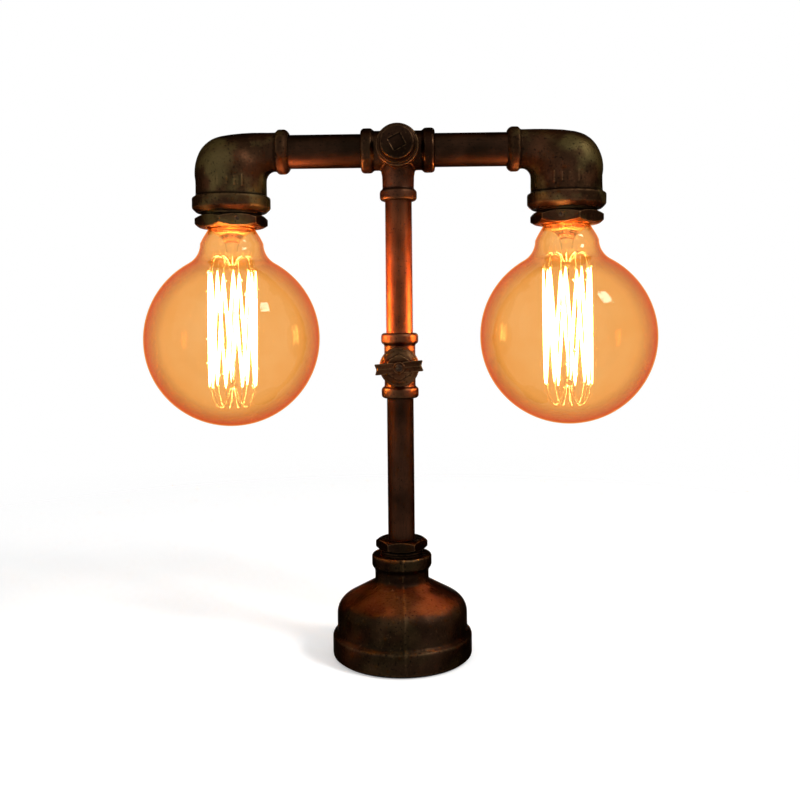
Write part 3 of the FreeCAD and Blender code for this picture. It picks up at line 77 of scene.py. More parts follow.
def put(name, data):
    """A new object in the scene."""
    made = bpy.data.objects.new(name, data)
    scene.collection.objects.link(made)
    return made


# %% [markdown]
# ## The camera
# The camera stands 0.73 m in front of the column, a little above the
# valve. It looks level, which keeps the pipes upright. The frame is moved
# down with the lens shift, as a view camera does, and not by tilting.

# %% Place the camera
CAMERA_FROM_COLUMN = 730 * MM
CAMERA_HEIGHT = 266 * MM
CAMERA_SIDE = math.radians(1.2)
CAMERA_ROLL = math.radians(-0.56)
FOCAL_PIXELS = 913.9
IMAGE_PIXELS = 800
MIDDLE_X, HORIZON_Y = 399.5, 320.0
SENSOR_WIDTH = 36
NEAREST_SEEN = 10 * MM

lens = bpy.data.cameras.new("lamp_camera")
lens.sensor_width = SENSOR_WIDTH
lens.lens = SENSOR_WIDTH * FOCAL_PIXELS / IMAGE_PIXELS
lens.shift_x = (IMAGE_PIXELS / 2 - MIDDLE_X) / IMAGE_PIXELS
lens.shift_y = (HORIZON_Y - IMAGE_PIXELS / 2) / IMAGE_PIXELS
lens.clip_start = NEAREST_SEEN
camera = put("lamp_camera", lens)
camera.location = (
    CAMERA_FROM_COLUMN * math.sin(CAMERA_SIDE),
    -CAMERA_FROM_COLUMN * math.cos(CAMERA_SIDE),
    CAMERA_HEIGHT,
)
level = Matrix.Rotation(CAMERA_SIDE, 4, "Z") @ Matrix.Rotation(math.radians(90), 4, "X")
camera.rotation_euler = (level @ Matrix.Rotation(CAMERA_ROLL, 4, "Z")).to_euler()
scene.camera = camera
print("lens", round(lens.lens, 2), "mm, shift", round(lens.shift_x, 4), round(lens.shift_y, 4))

# %% [markdown]
# ## The studio
# A pale floor and soft, plain light, at which a colour comes out about as
# it is written. The floor fades into a white surround, which the metal and
# the glass see as well, and it keeps the lamp's shadow.

# %% A small kit for shader trees
scene.view_settings.view_transform = "Standard"


def new_node(tree, kind, settings, inputs):
    """Adds a node. An input goes by its name, or by its number as n0, n1 and so on."""
    node = tree.nodes.new(kind)
    for key, setting in (settings or {}).items():
        setattr(node, key, setting)
    for key, given in inputs.items():
        numbered = key[0] == "n" and key[1:].isdigit()
        socket = node.inputs[int(key[1:]) if numbered else key.replace("_", " ")]
        if isinstance(given, bpy.types.Node):
            given = given.outputs[0]
        if isinstance(given, bpy.types.NodeSocket):
            tree.links.new(given, socket)
        else:
            socket.default_value = given
    return node


def node_kit(tree):
    """Empties a shader tree and gives the means to add nodes to it."""
    tree.nodes.clear()

    def add(kind, settings=None, **inputs):
        return new_node(tree, kind, settings, inputs)

    return add


def shader_tree(name):
    """A new material and the means to add its nodes."""
    material = bpy.data.materials.new(name)
    material.use_nodes = True
    return material, node_kit(material.node_tree)


def ramp(add, source, low, high, start=0.0, end=1.0):
    """Spreads low..high of a pattern smoothly over start..end."""
    smooth = {"interpolation_type": "SMOOTHSTEP"}
    limits = {"n1": low, "n2": high, "n3": start, "n4": end}
    return add("ShaderNodeMapRange", smooth, Value=source, **limits).outputs[0]


def mix(add, share, first, second):
    """Mixes two colours by a share."""
    node = add("ShaderNodeMix", {"data_type": "RGBA"}, n0=share, n6=first, n7=second)
    return node.outputs[2]


def maths(add, operation, a, b):
    """Works out one sum."""
    return add("ShaderNodeMath", {"operation": operation}, n0=a, n1=b).outputs[0]


def times(add, a, b):
    """A pattern times another, or times a number."""
    return maths(add, "MULTIPLY", a, b)


def show(add, shader):
    """Makes a shader the surface of the material."""
    add("ShaderNodeOutputMaterial", Surface=shader)


def show_solid(add, **inputs):
    """Ends a tree with the shader that metal, plastic and cloth share."""
    show(add, add("ShaderNodeBsdfPrincipled", **inputs))


# %% World, floor and lamps
AMBIENT = 0.55
WHITE = (1, 1, 1, 1)
FLOOR_COLOUR = (0.9, 0.9, 0.9, 1)
FLOOR_LIFT = 0.3
FLOOR_RADIUS = 1.2
FLOOR_FADE = (0.3, 1.1)

world = bpy.data.worlds.new("studio")
scene.world = world
world.use_nodes = True
add = node_kit(world.node_tree)
ray = add("ShaderNodeLightPath").outputs
seen = maths(add, "ADD", ray["Is Camera Ray"], ray["Is Glossy Ray"])
clamped_sum = {"operation": "ADD", "use_clamp": True}
seen = add("ShaderNodeMath", clamped_sum, n0=seen, n1=ray["Is Transmission Ray"])
plain = add("ShaderNodeBackground", Color=WHITE, Strength=AMBIENT)
white = add("ShaderNodeBackground", Color=WHITE)
both = add("ShaderNodeMixShader", n0=seen, n1=plain, n2=white)
add("ShaderNodeOutputWorld", Surface=both)

floor_material, add = shader_tree("pale_floor")
at = add("ShaderNodeTexCoord").outputs["Object"]
from_middle = add("ShaderNodeVectorMath", {"operation": "LENGTH"}, n0=at)
away = ramp(add, from_middle.outputs["Value"], *FLOOR_FADE)
lift = times(add, add("ShaderNodeLightPath").outputs["Is Camera Ray"], FLOOR_LIFT)
lifted = add(
    "ShaderNodeAddShader",
    n0=add("ShaderNodeBsdfDiffuse", Color=FLOOR_COLOUR),
    n1=add("ShaderNodeEmission", Strength=lift),
)
clear_floor = add("ShaderNodeBsdfTransparent")
show(add, add("ShaderNodeMixShader", n0=away, n1=lifted, n2=clear_floor))

bpy.ops.mesh.primitive_circle_add(vertices=128, radius=FLOOR_RADIUS, fill_type="NGON")
floor = bpy.context.object
floor.name = "floor"
floor.data.materials.append(floor_material)
floor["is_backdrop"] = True


def soft_lamp(name, place, aim, size, power):
    """A square soft light aimed at a point."""
    light = bpy.data.lights.new(name, "AREA")
    light.size = size
    light.energy = power
    lamp = put(name, light)
    lamp.location = place
    lamp.rotation_euler = (Vector(aim) - Vector(place)).to_track_quat("-Z", "Y").to_euler()
    lamp.visible_camera = lamp.visible_transmission = False


soft_lamp("key", place=(0.95, -0.6, 1.2), aim=(0, 0, 0.25), size=0.3, power=14)
soft_lamp("fill", place=(-1.3, -1.1, 0.9), aim=(0, 0, 0.2), size=1.5, power=6)
print("ambient", AMBIENT, "and two soft lamps")

# %% [markdown]
# ## Finishes
# The castings are blackened and then rubbed, so the high edges and worn
# patches show a warm copper brown, and the hollows stay near black. One
# recipe makes every plain finish: two shades mixed by a fine pattern, a
# roughness that varies with it, and a bump. The iron has a recipe of its
# own, with the rubbed patches, an olive bloom and pits.

# %% Antique iron
OLIVE = (0.078, 0.06, 0.022, 1)
BARE_EDGE = (0.16, 0.09, 0.04, 1)
DARK_HOLLOW = (0.004, 0.0025, 0.0015, 1)
DARK_GRAIN = (0.004, 0.0025, 0.002, 1)
BRIGHT_FLECK = (0.1, 0.055, 0.025, 1)


def ragged_height(add, at, pattern, reach):
    """The height, moved by a pattern so that a band of it has no straight edge."""
    height = add("ShaderNodeSeparateXYZ", Vector=at).outputs[2]
    moved = times(add, maths(add, "SUBTRACT", pattern, 0.5), reach * MM)
    return maths(add, "ADD", height, moved)


def antique_iron(
    name, brown, rub, olive, worn=0.7, rough=0.46, painted_light_band=None, copper=(0.085, 0.032, 0.015)
):
    """Blackened iron.

    brown is the shade where it shows only its toning. rub, olive and worn say
    how much of the copper patches, the olive bloom and the bare edges shows
    (0 to 1). A band of heights, when given, is laid in copper as painted
    light: the bulbs' glow on the valve body and the tee, the bonnet's glints
    and the highlight on the base's cone.
    """
    material, add = shader_tree(name)
    at = add("ShaderNodeTexCoord").outputs["Object"]

    def noise(scale, detail, shift):
        moved = add("ShaderNodeMapping", Vector=at, Location=(shift, shift * 0.7, -shift))
        return add("ShaderNodeTexNoise", Vector=moved, Scale=scale, Detail=detail).outputs[0]

    def lay(under, pattern, amount, over):
        """Lays one colour over another by an amount of a pattern."""
        return mix(add, times(add, pattern, amount), under, over)

    wear = add("ShaderNodeAttribute", {"attribute_name": "wear"}).outputs["Fac"]
    clouds, patches, bloom = noise(24, 3, 2.34), noise(42, 5, 0.31), noise(33, 4, 1.32)
    specks, sand = noise(560, 3, 0.13), noise(1400, 2, 0.5)
    dark = tuple(part * 0.36 for part in brown)
    colour = mix(add, ramp(add, clouds, 0.36, 0.62), (*dark, 1), (*brown, 1))
    patch = times(add, ramp(add, patches, 0.46, 0.68), rub)
    # painted light: a band of heights laid in copper, for the bulbs' glow, the bonnet's glints and
    # the cone's highlight
    if painted_light_band:
        low, high = painted_light_band
        height = ragged_height(add, at, patches, 14)
        band = times(
            add,
            ramp(add, height, (low - 3) * MM, (low + 5) * MM),
            ramp(add, height, (high + 3) * MM, (high - 4) * MM),
        )
        painted_light_share = times(add, band, ramp(add, clouds, 0.38, 0.6, 0.2, 1.0))
        patch = maths(add, "MAXIMUM", patch, painted_light_share)
    colour = mix(add, patch, colour, (*copper, 1))
    colour = lay(colour, ramp(add, bloom, 0.46, 0.64), olive, OLIVE)
    edge = times(add, ramp(add, wear, 0.52, 0.66), ramp(add, specks, 0.3, 0.56))
    colour = lay(colour, edge, worn, BARE_EDGE)
    colour = lay(colour, ramp(add, wear, 0.5, 0.4), 0.8, DARK_HOLLOW)
    grain = ramp(add, specks, 0.42, 0.3)
    colour = lay(colour, grain, 0.75, DARK_GRAIN)
    colour = lay(colour, ramp(add, specks, 0.62, 0.76), 0.28, BRIGHT_FLECK)
    smooth = ramp(add, patches, 0.3, 0.7, rough + 0.1, rough - 0.08)
    fine = add("ShaderNodeBump", Height=sand, Strength=0.25, Distance=0.25 * MM)
    bump = add("ShaderNodeBump", Height=specks, Strength=0.4, Distance=0.6 * MM, Normal=fine)
    show_solid(
        add,
        Base_Color=colour,
        Metallic=1.0,
        Roughness=maths(add, "ADD", smooth, times(add, grain, 0.2)),
        Specular_Tint=(0.16, 0.13, 0.1, 1),
        Normal=bump,
    )
    return material


iron = antique_iron(
    "iron_antique", (0.023, 0.0108, 0.0052), rub=0.25, olive=0.56, worn=0.45, rough=0.52
)
# The copper band on the base's cone is a painted highlight of the light falling on its top.
base_iron = antique_iron(
    "iron_base",
    (0.02, 0.0098, 0.0052),
    rub=0.2,
    olive=0.1,
    worn=0.35,
    painted_light_band=(43, 60),
    copper=(0.068, 0.025, 0.0115),
)
# The copper band on the tee's lower branch is the painted glow of the bulbs.
small_iron = antique_iron(
    "iron_small",
    (0.015, 0.007, 0.0038),
    rub=0.15,
    olive=0.06,
    worn=0.4,
    rough=0.4,
    painted_light_band=(362, 386),
    copper=(0.062, 0.0225, 0.0115),
)
# The copper band on the valve body's upper ring is the painted glow of the bulbs, stronger there
# than at the lower ring.
bronzed = antique_iron(
    "iron_bronzed",
    (0.038, 0.0145, 0.0066),
    rub=0.4,
    olive=0.1,
    rough=0.38,
    painted_light_band=(239, 262),
    copper=(0.12, 0.041, 0.018),
)
# The copper band on the upper half of the bonnet's face is its painted glints.
dull_bronze = antique_iron(
    "iron_dull_bronze",
    (0.052, 0.0185, 0.0072),
    rub=0.3,
    olive=0.0,
    worn=0.9,
    rough=0.22,
    painted_light_band=(235, 247),
    copper=(0.17, 0.095, 0.042),
)
print("iron finishes:", [made.name for made in (iron, base_iron, small_iron, bronzed, dull_bronze)])


# %% Pipe with the marks of drawing
DARK_STREAK = (0.008, 0.005, 0.003, 1)
# the colour of the painted shade at the top of the upper riser
PAINTED_SHADE_TOP = (0.02, 0.0085, 0.004, 1)
DARK_PIT = (0.005, 0.003, 0.002, 1)


def drawn_pipe(name, along, brown, copper, painted_shade_heights=None):
    """Toned pipe whose fine streaks run along one axis of the lamp.

    Between two heights, when given, it turns as dark as the fitting going up: painted shade where
    less of the bulbs' glow falls.
    """
    material, add = shader_tree(name)
    at = add("ShaderNodeTexCoord").outputs["Object"]
    stretch = [60.0, 60.0, 60.0]
    stretch["XYZ".index(along)] = 3.0
    drawn = add("ShaderNodeMapping", Vector=at, Scale=stretch)
    streaks = add("ShaderNodeTexNoise", Vector=drawn, Scale=22, Detail=4).outputs[0]
    clouds = add("ShaderNodeTexNoise", Vector=at, Scale=34, Detail=4).outputs[0]
    specks = add("ShaderNodeTexNoise", Vector=at, Scale=700, Detail=3).outputs[0]
    colour = mix(add, ramp(add, clouds, 0.36, 0.68), (*brown, 1), (*copper, 1))
    colour = mix(add, ramp(add, streaks, 0.5, 0.72, 0, 0.5), colour, DARK_STREAK)
    # painted shade towards the top of the pipe, where less of the bulbs' glow falls
    if painted_shade_heights:
        height = ragged_height(add, at, clouds, 50)
        painted_shade_share = ramp(add, height, painted_shade_heights[0] * MM, painted_shade_heights[1] * MM, 0, 0.8)
        colour = mix(add, painted_shade_share, colour, PAINTED_SHADE_TOP)
    colour = mix(add, ramp(add, specks, 0.39, 0.3), colour, DARK_PIT)
    bump = add("ShaderNodeBump", Height=streaks, Strength=0.12, Distance=0.2 * MM)
    bump = add("ShaderNodeBump", Height=specks, Strength=0.25, Distance=0.4 * MM, Normal=bump)
    show_solid(
        add,
        Base_Color=colour,
        Metallic=1.0,
        Roughness=ramp(add, clouds, 0.3, 0.7, 0.48, 0.36),
        Specular_Tint=(0.16, 0.12, 0.09, 1),
        Normal=bump,
    )
    return material


# The upper riser's bright copper is partly the painted glow of the bulbs, which falls on it; the
# darkening at its top is painted shade.
upper_glow_painted_finish = drawn_pipe(
    "pipe_upper", "Z", (0.072, 0.0185, 0.0064), (0.165, 0.044, 0.0165), painted_shade_heights=(325, 368)
)
lower_finish = drawn_pipe("pipe_lower", "Z", (0.01, 0.0045, 0.0025), (0.033, 0.013, 0.0065))
arm_finish = drawn_pipe("pipe_level", "X", (0.0095, 0.005, 0.0027), (0.03, 0.013, 0.0068))
print("pipe finishes:", [made.name for made in (upper_glow_painted_finish, lower_finish, arm_finish)])


# %% Plain finishes from one recipe
def plain_finish(name, light, dark, roughness, metallic=0.0, scale=160.0, bump=0.1, **more):
    """Two shades mixed by a fine pattern, with a roughness that follows it."""
    material, add = shader_tree(name)
    at = add("ShaderNodeTexCoord").outputs["Object"]
    coarse = add("ShaderNodeTexNoise", Vector=at, Scale=scale, Detail=4).outputs[0]
    fine = add("ShaderNodeTexNoise", Vector=at, Scale=scale * 7, Detail=2).outputs[0]
    show_solid(
        add,
        Base_Color=mix(add, ramp(add, coarse, 0.35, 0.65), (*light, 1), (*dark, 1)),
        Roughness=ramp(add, coarse, 0.3, 0.7, roughness * 0.85, min(1.0, roughness * 1.2)),
        Metallic=metallic,
        Normal=add("ShaderNodeBump", Height=fine, Strength=bump, Distance=0.3 * MM),
        **more,
    )
    return material


zinc = plain_finish("steel_zinc", (0.5, 0.5, 0.52), (0.34, 0.34, 0.36), 0.36, 1.0)
brass = plain_finish("brass", (0.78, 0.52, 0.2), (0.6, 0.37, 0.13), 0.3, 1.0)
copper = plain_finish("copper_contact", (0.72, 0.32, 0.18), (0.5, 0.2, 0.1), 0.34, 1.0)
solder = plain_finish("solder", (0.62, 0.62, 0.6), (0.45, 0.45, 0.44), 0.42, 1.0, scale=400)
nickel = plain_finish("nickel_wire", (0.95, 0.9, 0.78), (0.84, 0.77, 0.62), 0.24, 1.0, scale=500)
porcelain = plain_finish("porcelain", (0.82, 0.8, 0.74), (0.76, 0.73, 0.66), 0.22, Coat_Weight=0.4)
plastic = plain_finish("plastic_black", (0.018, 0.018, 0.019), (0.01, 0.01, 0.011), 0.45, scale=260)
rubber = plain_finish(
    "rubber_black", (0.022, 0.021, 0.02), (0.012, 0.012, 0.011), 0.8, scale=300, bump=0.35
)
vitrite = plain_finish(
    "glass_black", (0.02, 0.02, 0.03), (0.008, 0.008, 0.012), 0.12, scale=90, bump=0.03
)
dark_screw = plain_finish(
    "screw_blackened", (0.06, 0.034, 0.02), (0.02, 0.012, 0.008), 0.34, 1.0, scale=300
)
print("plain finishes made")


# %% Cotton braid of the inner flex
def braid(name):
    """Two crossing sets of threads, wound round the flex."""
    material, add = shader_tree(name)
    at = add("ShaderNodeTexCoord").outputs["Object"]

    def threads(at):
        slanting = {"bands_direction": "DIAGONAL"}
        wave = add("ShaderNodeTexWave", slanting, Vector=at, Scale=420, Distortion=0.6)
        return wave.outputs[1]

    over = threads(at)
    turned = add("ShaderNodeMapping", Vector=at, Rotation=(0, 0, 1.57), Scale=(1, -1, 1))
    weave = maths(add, "MAXIMUM", over, threads(turned))
    show_solid(
        add,
        Base_Color=mix(add, weave, (0.1, 0.07, 0.04, 1), (0.34, 0.26, 0.16, 1)),
        Roughness=0.85,
        Sheen_Weight=0.3,
        Normal=add("ShaderNodeBump", Height=weave, Strength=0.6, Distance=0.4 * MM),
    )
    return material


cotton = braid("cotton_braid")


# %% [markdown]
# ### Glass and glow
# The globe is thin blown glass with an amber coat. Glass bends and mirrors
# light by itself; only the coat's colour is ours to set, and it looks
# deeper at the rim, where one looks along the wall. A lamp's rays pass it
# as through a coloured pane, so the filament lights what is outside.

# %% Amber glass, clear glass, glow
def blown_glass(name, middle, rim, pane, ripple):
    """Tinted glass that lets the light of lamps through."""
    material, add = shader_tree(name)
    at = add("ShaderNodeTexCoord").outputs["Object"]
    waves = add("ShaderNodeTexNoise", Vector=at, Scale=34, Detail=2).outputs[0]
    seeds = add("ShaderNodeTexNoise", Vector=at, Scale=210, Detail=1).outputs[0]
    facing = add("ShaderNodeLayerWeight", Blend=0.4).outputs["Facing"]
    tint = mix(add, ramp(add, facing, 0.05, 0.65), middle, rim)
    tint = mix(add, ramp(add, waves, 0.35, 0.7, 0, 0.2), tint, rim)
    bump = add("ShaderNodeBump", Height=waves, Strength=ripple, Distance=0.8 * MM)
    bump = add(
        "ShaderNodeBump",
        Height=ramp(add, seeds, 0.66, 0.74),
        Strength=ripple,
        Distance=0.5 * MM,
        Normal=bump,
    )
    glass = add(
        "ShaderNodeBsdfPrincipled",
        Base_Color=tint,
        Roughness=0.015,
        IOR=1.24,
        Transmission_Weight=1.0,
        Specular_Tint=(1.0, 0.8, 0.55, 1),
        Normal=bump,
    )
    edge = add("ShaderNodeBsdfTransparent", Color=rim)
    glass = add("ShaderNodeMixShader", n0=ramp(add, facing, 0.3, 0.78, 0, 0.92), n1=glass, n2=edge)
    through = add("ShaderNodeBsdfTransparent", Color=pane)
    ray = add("ShaderNodeLightPath").outputs
    passing = maths(add, "MAXIMUM", ray["Is Shadow Ray"], ray["Is Diffuse Ray"])
    show(add, add("ShaderNodeMixShader", n0=passing, n1=glass, n2=through))
    return material


amber = blown_glass(
    "glass_amber",
    middle=(0.95, 0.65, 0.35, 1),
    rim=(0.9, 0.5, 0.14, 1),
    pane=(0.96, 0.957, 0.95, 1),
    ripple=0.12,
)
clear = blown_glass(
    "glass_clear",
    middle=(0.99, 0.97, 0.93, 1),
    rim=(0.97, 0.93, 0.86, 1),
    pane=(0.98, 0.98, 0.975, 1),
    ripple=0.1,
)

FILAMENT_STRENGTH = 90.0
glow, add = shader_tree("filament_glow")
at = add("ShaderNodeTexCoord").outputs["Object"]
coil = add("ShaderNodeTexWave", {"bands_direction": "Z"}, Vector=at, Scale=900, Distortion=0.2)
show_solid(
    add,
    Base_Color=mix(add, coil.outputs[1], (0.7, 0.55, 0.35, 1), (1.0, 0.9, 0.7, 1)),
    Roughness=0.6,
    Emission_Color=(1.0, 0.74, 0.42, 1),
    Emission_Strength=FILAMENT_STRENGTH,
)
print("glass and glow made, filament strength", FILAMENT_STRENGTH)

# %% [markdown]
# ## Ways to make a piece
# Three tools cover the lamp. A **lathe** turns an outline into a closed
# round piece. **Cast copies** take the CAD casting, melt its hard edges
# together as sand casting does, and give it a skin. **Geometry Nodes** grow
# what repeats or follows a path.

# %% From mesh data to a piece
def new_piece(name, points, faces, material):
    """An object at the origin whose place is in its mesh."""
    mesh = bpy.data.meshes.new(name)
    mesh.from_pydata([tuple(p) for p in points], [], faces)
    mesh.validate()
    mesh.shade_smooth()
    mesh.materials.append(material)
    return put(name, mesh)


def bake_modifiers(piece):
    """Turns what the modifiers make into a plain mesh and removes them."""
    bpy.context.view_layer.update()
    graph = bpy.context.evaluated_depsgraph_get()
    mesh = bpy.data.meshes.new_from_object(piece.evaluated_get(graph), depsgraph=graph)
    piece.modifiers.clear()
    old, piece.data = piece.data, mesh
    bpy.data.meshes.remove(old)
    mesh.name = piece.name


def hand_over(piece, *stood_for, body=None):
    """The piece rides on its CAD body, and the nodes it stands for are hidden."""
    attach(piece, body or body_of_node[stood_for[0]])
    if stood_for:
        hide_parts(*stood_for)
    print(f"{piece.name}: {len(piece.data.polygons)} faces")
    return piece


# %% The lathe
def lathe(name, outline, material, axis, steps):
    """Turns a closed outline of (radius, height) about an upright axis."""
    points, rings = [], []
    for radius, height in outline:
        if radius < 1e-7:
            rings.append([len(points)])
            points.append((axis[0], axis[1], height))
            continue
        rings.append(list(range(len(points), len(points) + steps)))
        for k in range(steps):
            turn = 2 * math.pi * k / steps
            across, deep = radius * math.cos(turn), radius * math.sin(turn)
            points.append((axis[0] + across, axis[1] + deep, height))
    faces = []
    for low, high in zip(rings, rings[1:] + rings[:1]):
        if len(low) == 1 and len(high) == 1:
            continue
        for k in range(steps):
            after = (k + 1) % steps
            below = [low[k % len(low)], low[after % len(low)]]
            above = [high[after % len(high)], high[k % len(high)]]
            faces.append(list(dict.fromkeys(below + above)))
    piece = new_piece(name, points, faces, material)
    face_outwards(piece.data)
    return piece


def face_outwards(mesh):
    """Makes the faces of a closed shell point out."""
    form = bmesh.new()
    form.from_mesh(mesh)
    bmesh.ops.recalc_face_normals(form, faces=form.faces)
    form.to_mesh(mesh)
    form.free()


def softened(corners, reach, steps=5):
    """Rounds the inner corners of a line of (radius, height) points."""
    line = [corners[0]]
    for before, corner, after in zip(corners, corners[1:], corners[2:]):
        a, b, c = Vector(before), Vector(corner), Vector(after)
        cut = min(reach, (a - b).length * 0.45, (c - b).length * 0.45)
        start, end = b + (a - b).normalized() * cut, b + (c - b).normalized() * cut
        for k in range(steps + 1):
            t = k / steps
            line.append(tuple(start * (1 - t) ** 2 + b * 2 * t * (1 - t) + end * t * t))
    return line + [corners[-1]]


# %% [markdown]
# ### A cast copy
# A foundry pattern has no sharp inside corners, and the sand leaves a skin
# of fine swells and grains. The copy is rebuilt from small cells, which
# joins what overlaps, then smoothed a little, and a Geometry Nodes tree
# pushes its points in and out by noise. Last, each point is told how far
# it stands proud of its neighbours, and the iron uses that for its wear.

# %% Geometry Nodes kit
class Tree:
    """A Geometry Nodes tree with named inputs."""

    KINDS = {int: "NodeSocketInt", float: "NodeSocketFloat", tuple: "NodeSocketVector"}

    def __init__(self, name, **sizes):
        self.tree = bpy.data.node_groups.new(name, "GeometryNodeTree")
        new_socket = self.tree.interface.new_socket
        new_socket("Geometry", in_out="INPUT", socket_type="NodeSocketGeometry")
        self.keys = {}
        for label, size in sizes.items():
            socket = new_socket(label, in_out="INPUT", socket_type=self.KINDS[type(size)])
            socket.default_value = size
            self.keys[label] = socket.identifier
        new_socket("Geometry", in_out="OUTPUT", socket_type="NodeSocketGeometry")
        self.start = self.tree.nodes.new("NodeGroupInput")

    def size(self, label):
        return self.start.outputs[label]

    def add(self, kind, settings=None, **inputs):
        if not kind.startswith(("Shader", "Function")):
            kind = "GeometryNode" + kind
        return new_node(self.tree, kind, settings, inputs)

    def maths(self, operation, a, b=0.0):
        return self.add("ShaderNodeMath", {"operation": operation}, n0=a, n1=b)

    def place(self, x=0.0, y=0.0, z=0.0):
        return self.add("ShaderNodeCombineXYZ", X=x, Y=y, Z=z)

    def end(self, geometry, material):
        real = self.add("RealizeInstances", Geometry=geometry)
        dressed = self.add("SetMaterial", Geometry=real)
        dressed.inputs["Material"].default_value = material
        output = self.tree.nodes.new("NodeGroupOutput")
        self.tree.links.new(dressed.outputs[0], output.inputs[0])

    def grow(self, piece, **sizes):
        """Adds the tree to a piece with these sizes."""
        grown = piece.modifiers.new(self.tree.name, "NODES")
        grown.node_group = self.tree
        for label, size in sizes.items():
            grown[self.keys[label]] = size


def grown_piece(name, tree, **sizes):
    """A piece that a tree makes from nothing, as a plain mesh."""
    piece = put(name, bpy.data.meshes.new(name))
    tree.grow(piece, **sizes)
    bake_modifiers(piece)
    piece.data.shade_smooth()
    return piece


# %% The sand-cast skin as a tree
def cast_skin(material):
    """Pushes each point along its normal: broad swells and a fine grain."""
    skin = Tree("cast_skin_" + material.name, Swell=0.1 * MM, Grain=0.05 * MM, Seed=0.0)
    here = skin.add("InputPosition")
    shift = skin.place(x=skin.size("Seed"))
    moved = skin.add("ShaderNodeVectorMath", {"operation": "ADD"}, n0=here, n1=shift)
    broad = skin.add("ShaderNodeTexNoise", Vector=moved, Scale=85.0, Detail=2.0)
    fine = skin.add("ShaderNodeTexNoise", Vector=moved, Scale=520.0, Detail=2.0)
    swell = skin.maths("MULTIPLY", skin.maths("SUBTRACT", broad, 0.5), skin.size("Swell"))
    grain = skin.maths("MULTIPLY", skin.maths("SUBTRACT", fine, 0.5), skin.size("Grain"))
    push = skin.add(
        "ShaderNodeVectorMath",
        {"operation": "SCALE"},
        n0=skin.add("InputNormal"),
        Scale=skin.maths("ADD", swell, grain),
    )
    pushed = skin.add("SetPosition", Geometry=skin.size("Geometry"), Offset=push)
    skin.end(pushed, material)
    return skin


skins = {}


def mark_wear(mesh, blur=2):
    """Stores how far each point stands proud: 0.5 is flat, more is an edge."""
    count = len(mesh.vertices)
    places = np.empty(count * 3, np.float32)
    mesh.vertices.foreach_get("co", places)
    normals = np.empty(count * 3, np.float32)
    mesh.vertex_normals.foreach_get("vector", normals)
    ends = np.empty(len(mesh.edges) * 2, np.int32)
    mesh.edges.foreach_get("vertices", ends)
    places, normals, ends = places.reshape(-1, 3), normals.reshape(-1, 3), ends.reshape(-1, 2)
    one, other = ends[:, 0], ends[:, 1]
    step = places[other] - places[one]
    length = np.linalg.norm(step, axis=1) + 1e-9
    share = np.bincount(one, minlength=count) + np.bincount(other, minlength=count)
    share = np.maximum(share, 1)
    proud = np.bincount(one, -(normals[one] * step).sum(1) / length, count)
    proud += np.bincount(other, (normals[other] * step).sum(1) / length, count)
    proud /= share
    for _ in range(blur):
        spread = np.bincount(one, proud[other], count) + np.bincount(other, proud[one], count)
        proud = 0.5 * proud + 0.5 * spread / share
    wear = mesh.attributes.new("wear", "FLOAT", "POINT")
    wear.data.foreach_set("value", np.clip(0.5 + proud, 0, 1).astype(np.float32))


def cast_copy(name, node, material, cell, settle, swell, grain, extras=()):
    """The cast skin over a copy of a CAD casting, with extras melted in.

    cell, swell and grain are in millimetres. settle says how often the
    copy is smoothed.
    """
    form = bmesh.new()
    form.from_mesh(nodes[node].data)
    bmesh.ops.remove_doubles(form, verts=form.verts, dist=1e-6)
    for add_extra in extras:
        add_extra(form)
    mesh = bpy.data.meshes.new(name)
    form.to_mesh(mesh)
    form.free()
    mesh.materials.clear()
    piece = put(name, mesh)
    cells = piece.modifiers.new("cells", "REMESH")
    cells.mode = "VOXEL"
    cells.voxel_size = cell * MM
    cells.use_smooth_shade = True
    soft = piece.modifiers.new("settle", "SMOOTH")
    soft.iterations = settle
    soft.factor = 0.5
    if material.name not in skins:
        skins[material.name] = cast_skin(material)
    skin = skins[material.name]
    skin.grow(piece, Swell=swell * MM, Grain=grain * MM, Seed=float(len(name)))
    bake_modifiers(piece)
    piece.data.shade_smooth()
    mark_wear(piece.data)
    return hand_over(piece, node)


# %% [markdown]
# ## The castings
# The base is a bell reducer, with the mould's parting seam up its front
# and two small pips beside it. The tee, the valve body and the elbows have
# thick rolled beads at their ends. The elbows carry four plain raised bars
# where a foundry sets its marks.

# %% Small things that are melted into a casting
def ridge(line, radius):
    """A thin raised line through points, as a tube half sunk in the casting."""

    def into(form):
        ring, rows = 8, []
        points = [Vector(p) * MM for p in line]
        for k, here in enumerate(points):
            ahead, behind = points[min(k + 1, len(points) - 1)], points[max(k - 1, 0)]
            along = (ahead - behind).normalized()
            side = along.orthogonal() if k == 0 else side - along * side.dot(along)
            side = side.normalized()
            other = along.cross(side)
            row = []
            for m in range(ring):
                t = 2 * math.pi * m / ring
                out = (side * math.cos(t) + other * math.sin(t)) * radius * MM
                row.append(form.verts.new(here + out))
            rows.append(row)
        for one, two in zip(rows, rows[1:]):
            for m in range(ring):
                form.faces.new((one[m], one[(m + 1) % ring], two[(m + 1) % ring], two[m]))
        form.faces.new(rows[0][::-1])
        form.faces.new(rows[-1])

    return into


def sized(place, size, turn=0.0):
    """Where a form of unit size goes, how it is turned and how large it gets."""
    scale = Matrix.Diagonal((size[0] * MM, size[1] * MM, size[2] * MM, 1))
    return Matrix.Translation(Vector(place) * MM) @ Matrix.Rotation(turn, 4, "Z") @ scale


def ball(place, size, fineness=3):
    """A bead or a shallow dome of iron."""

    def into(form):
        where = sized(place, size)
        bmesh.ops.create_icosphere(form, subdivisions=fineness, radius=1.0, matrix=where)

    return into


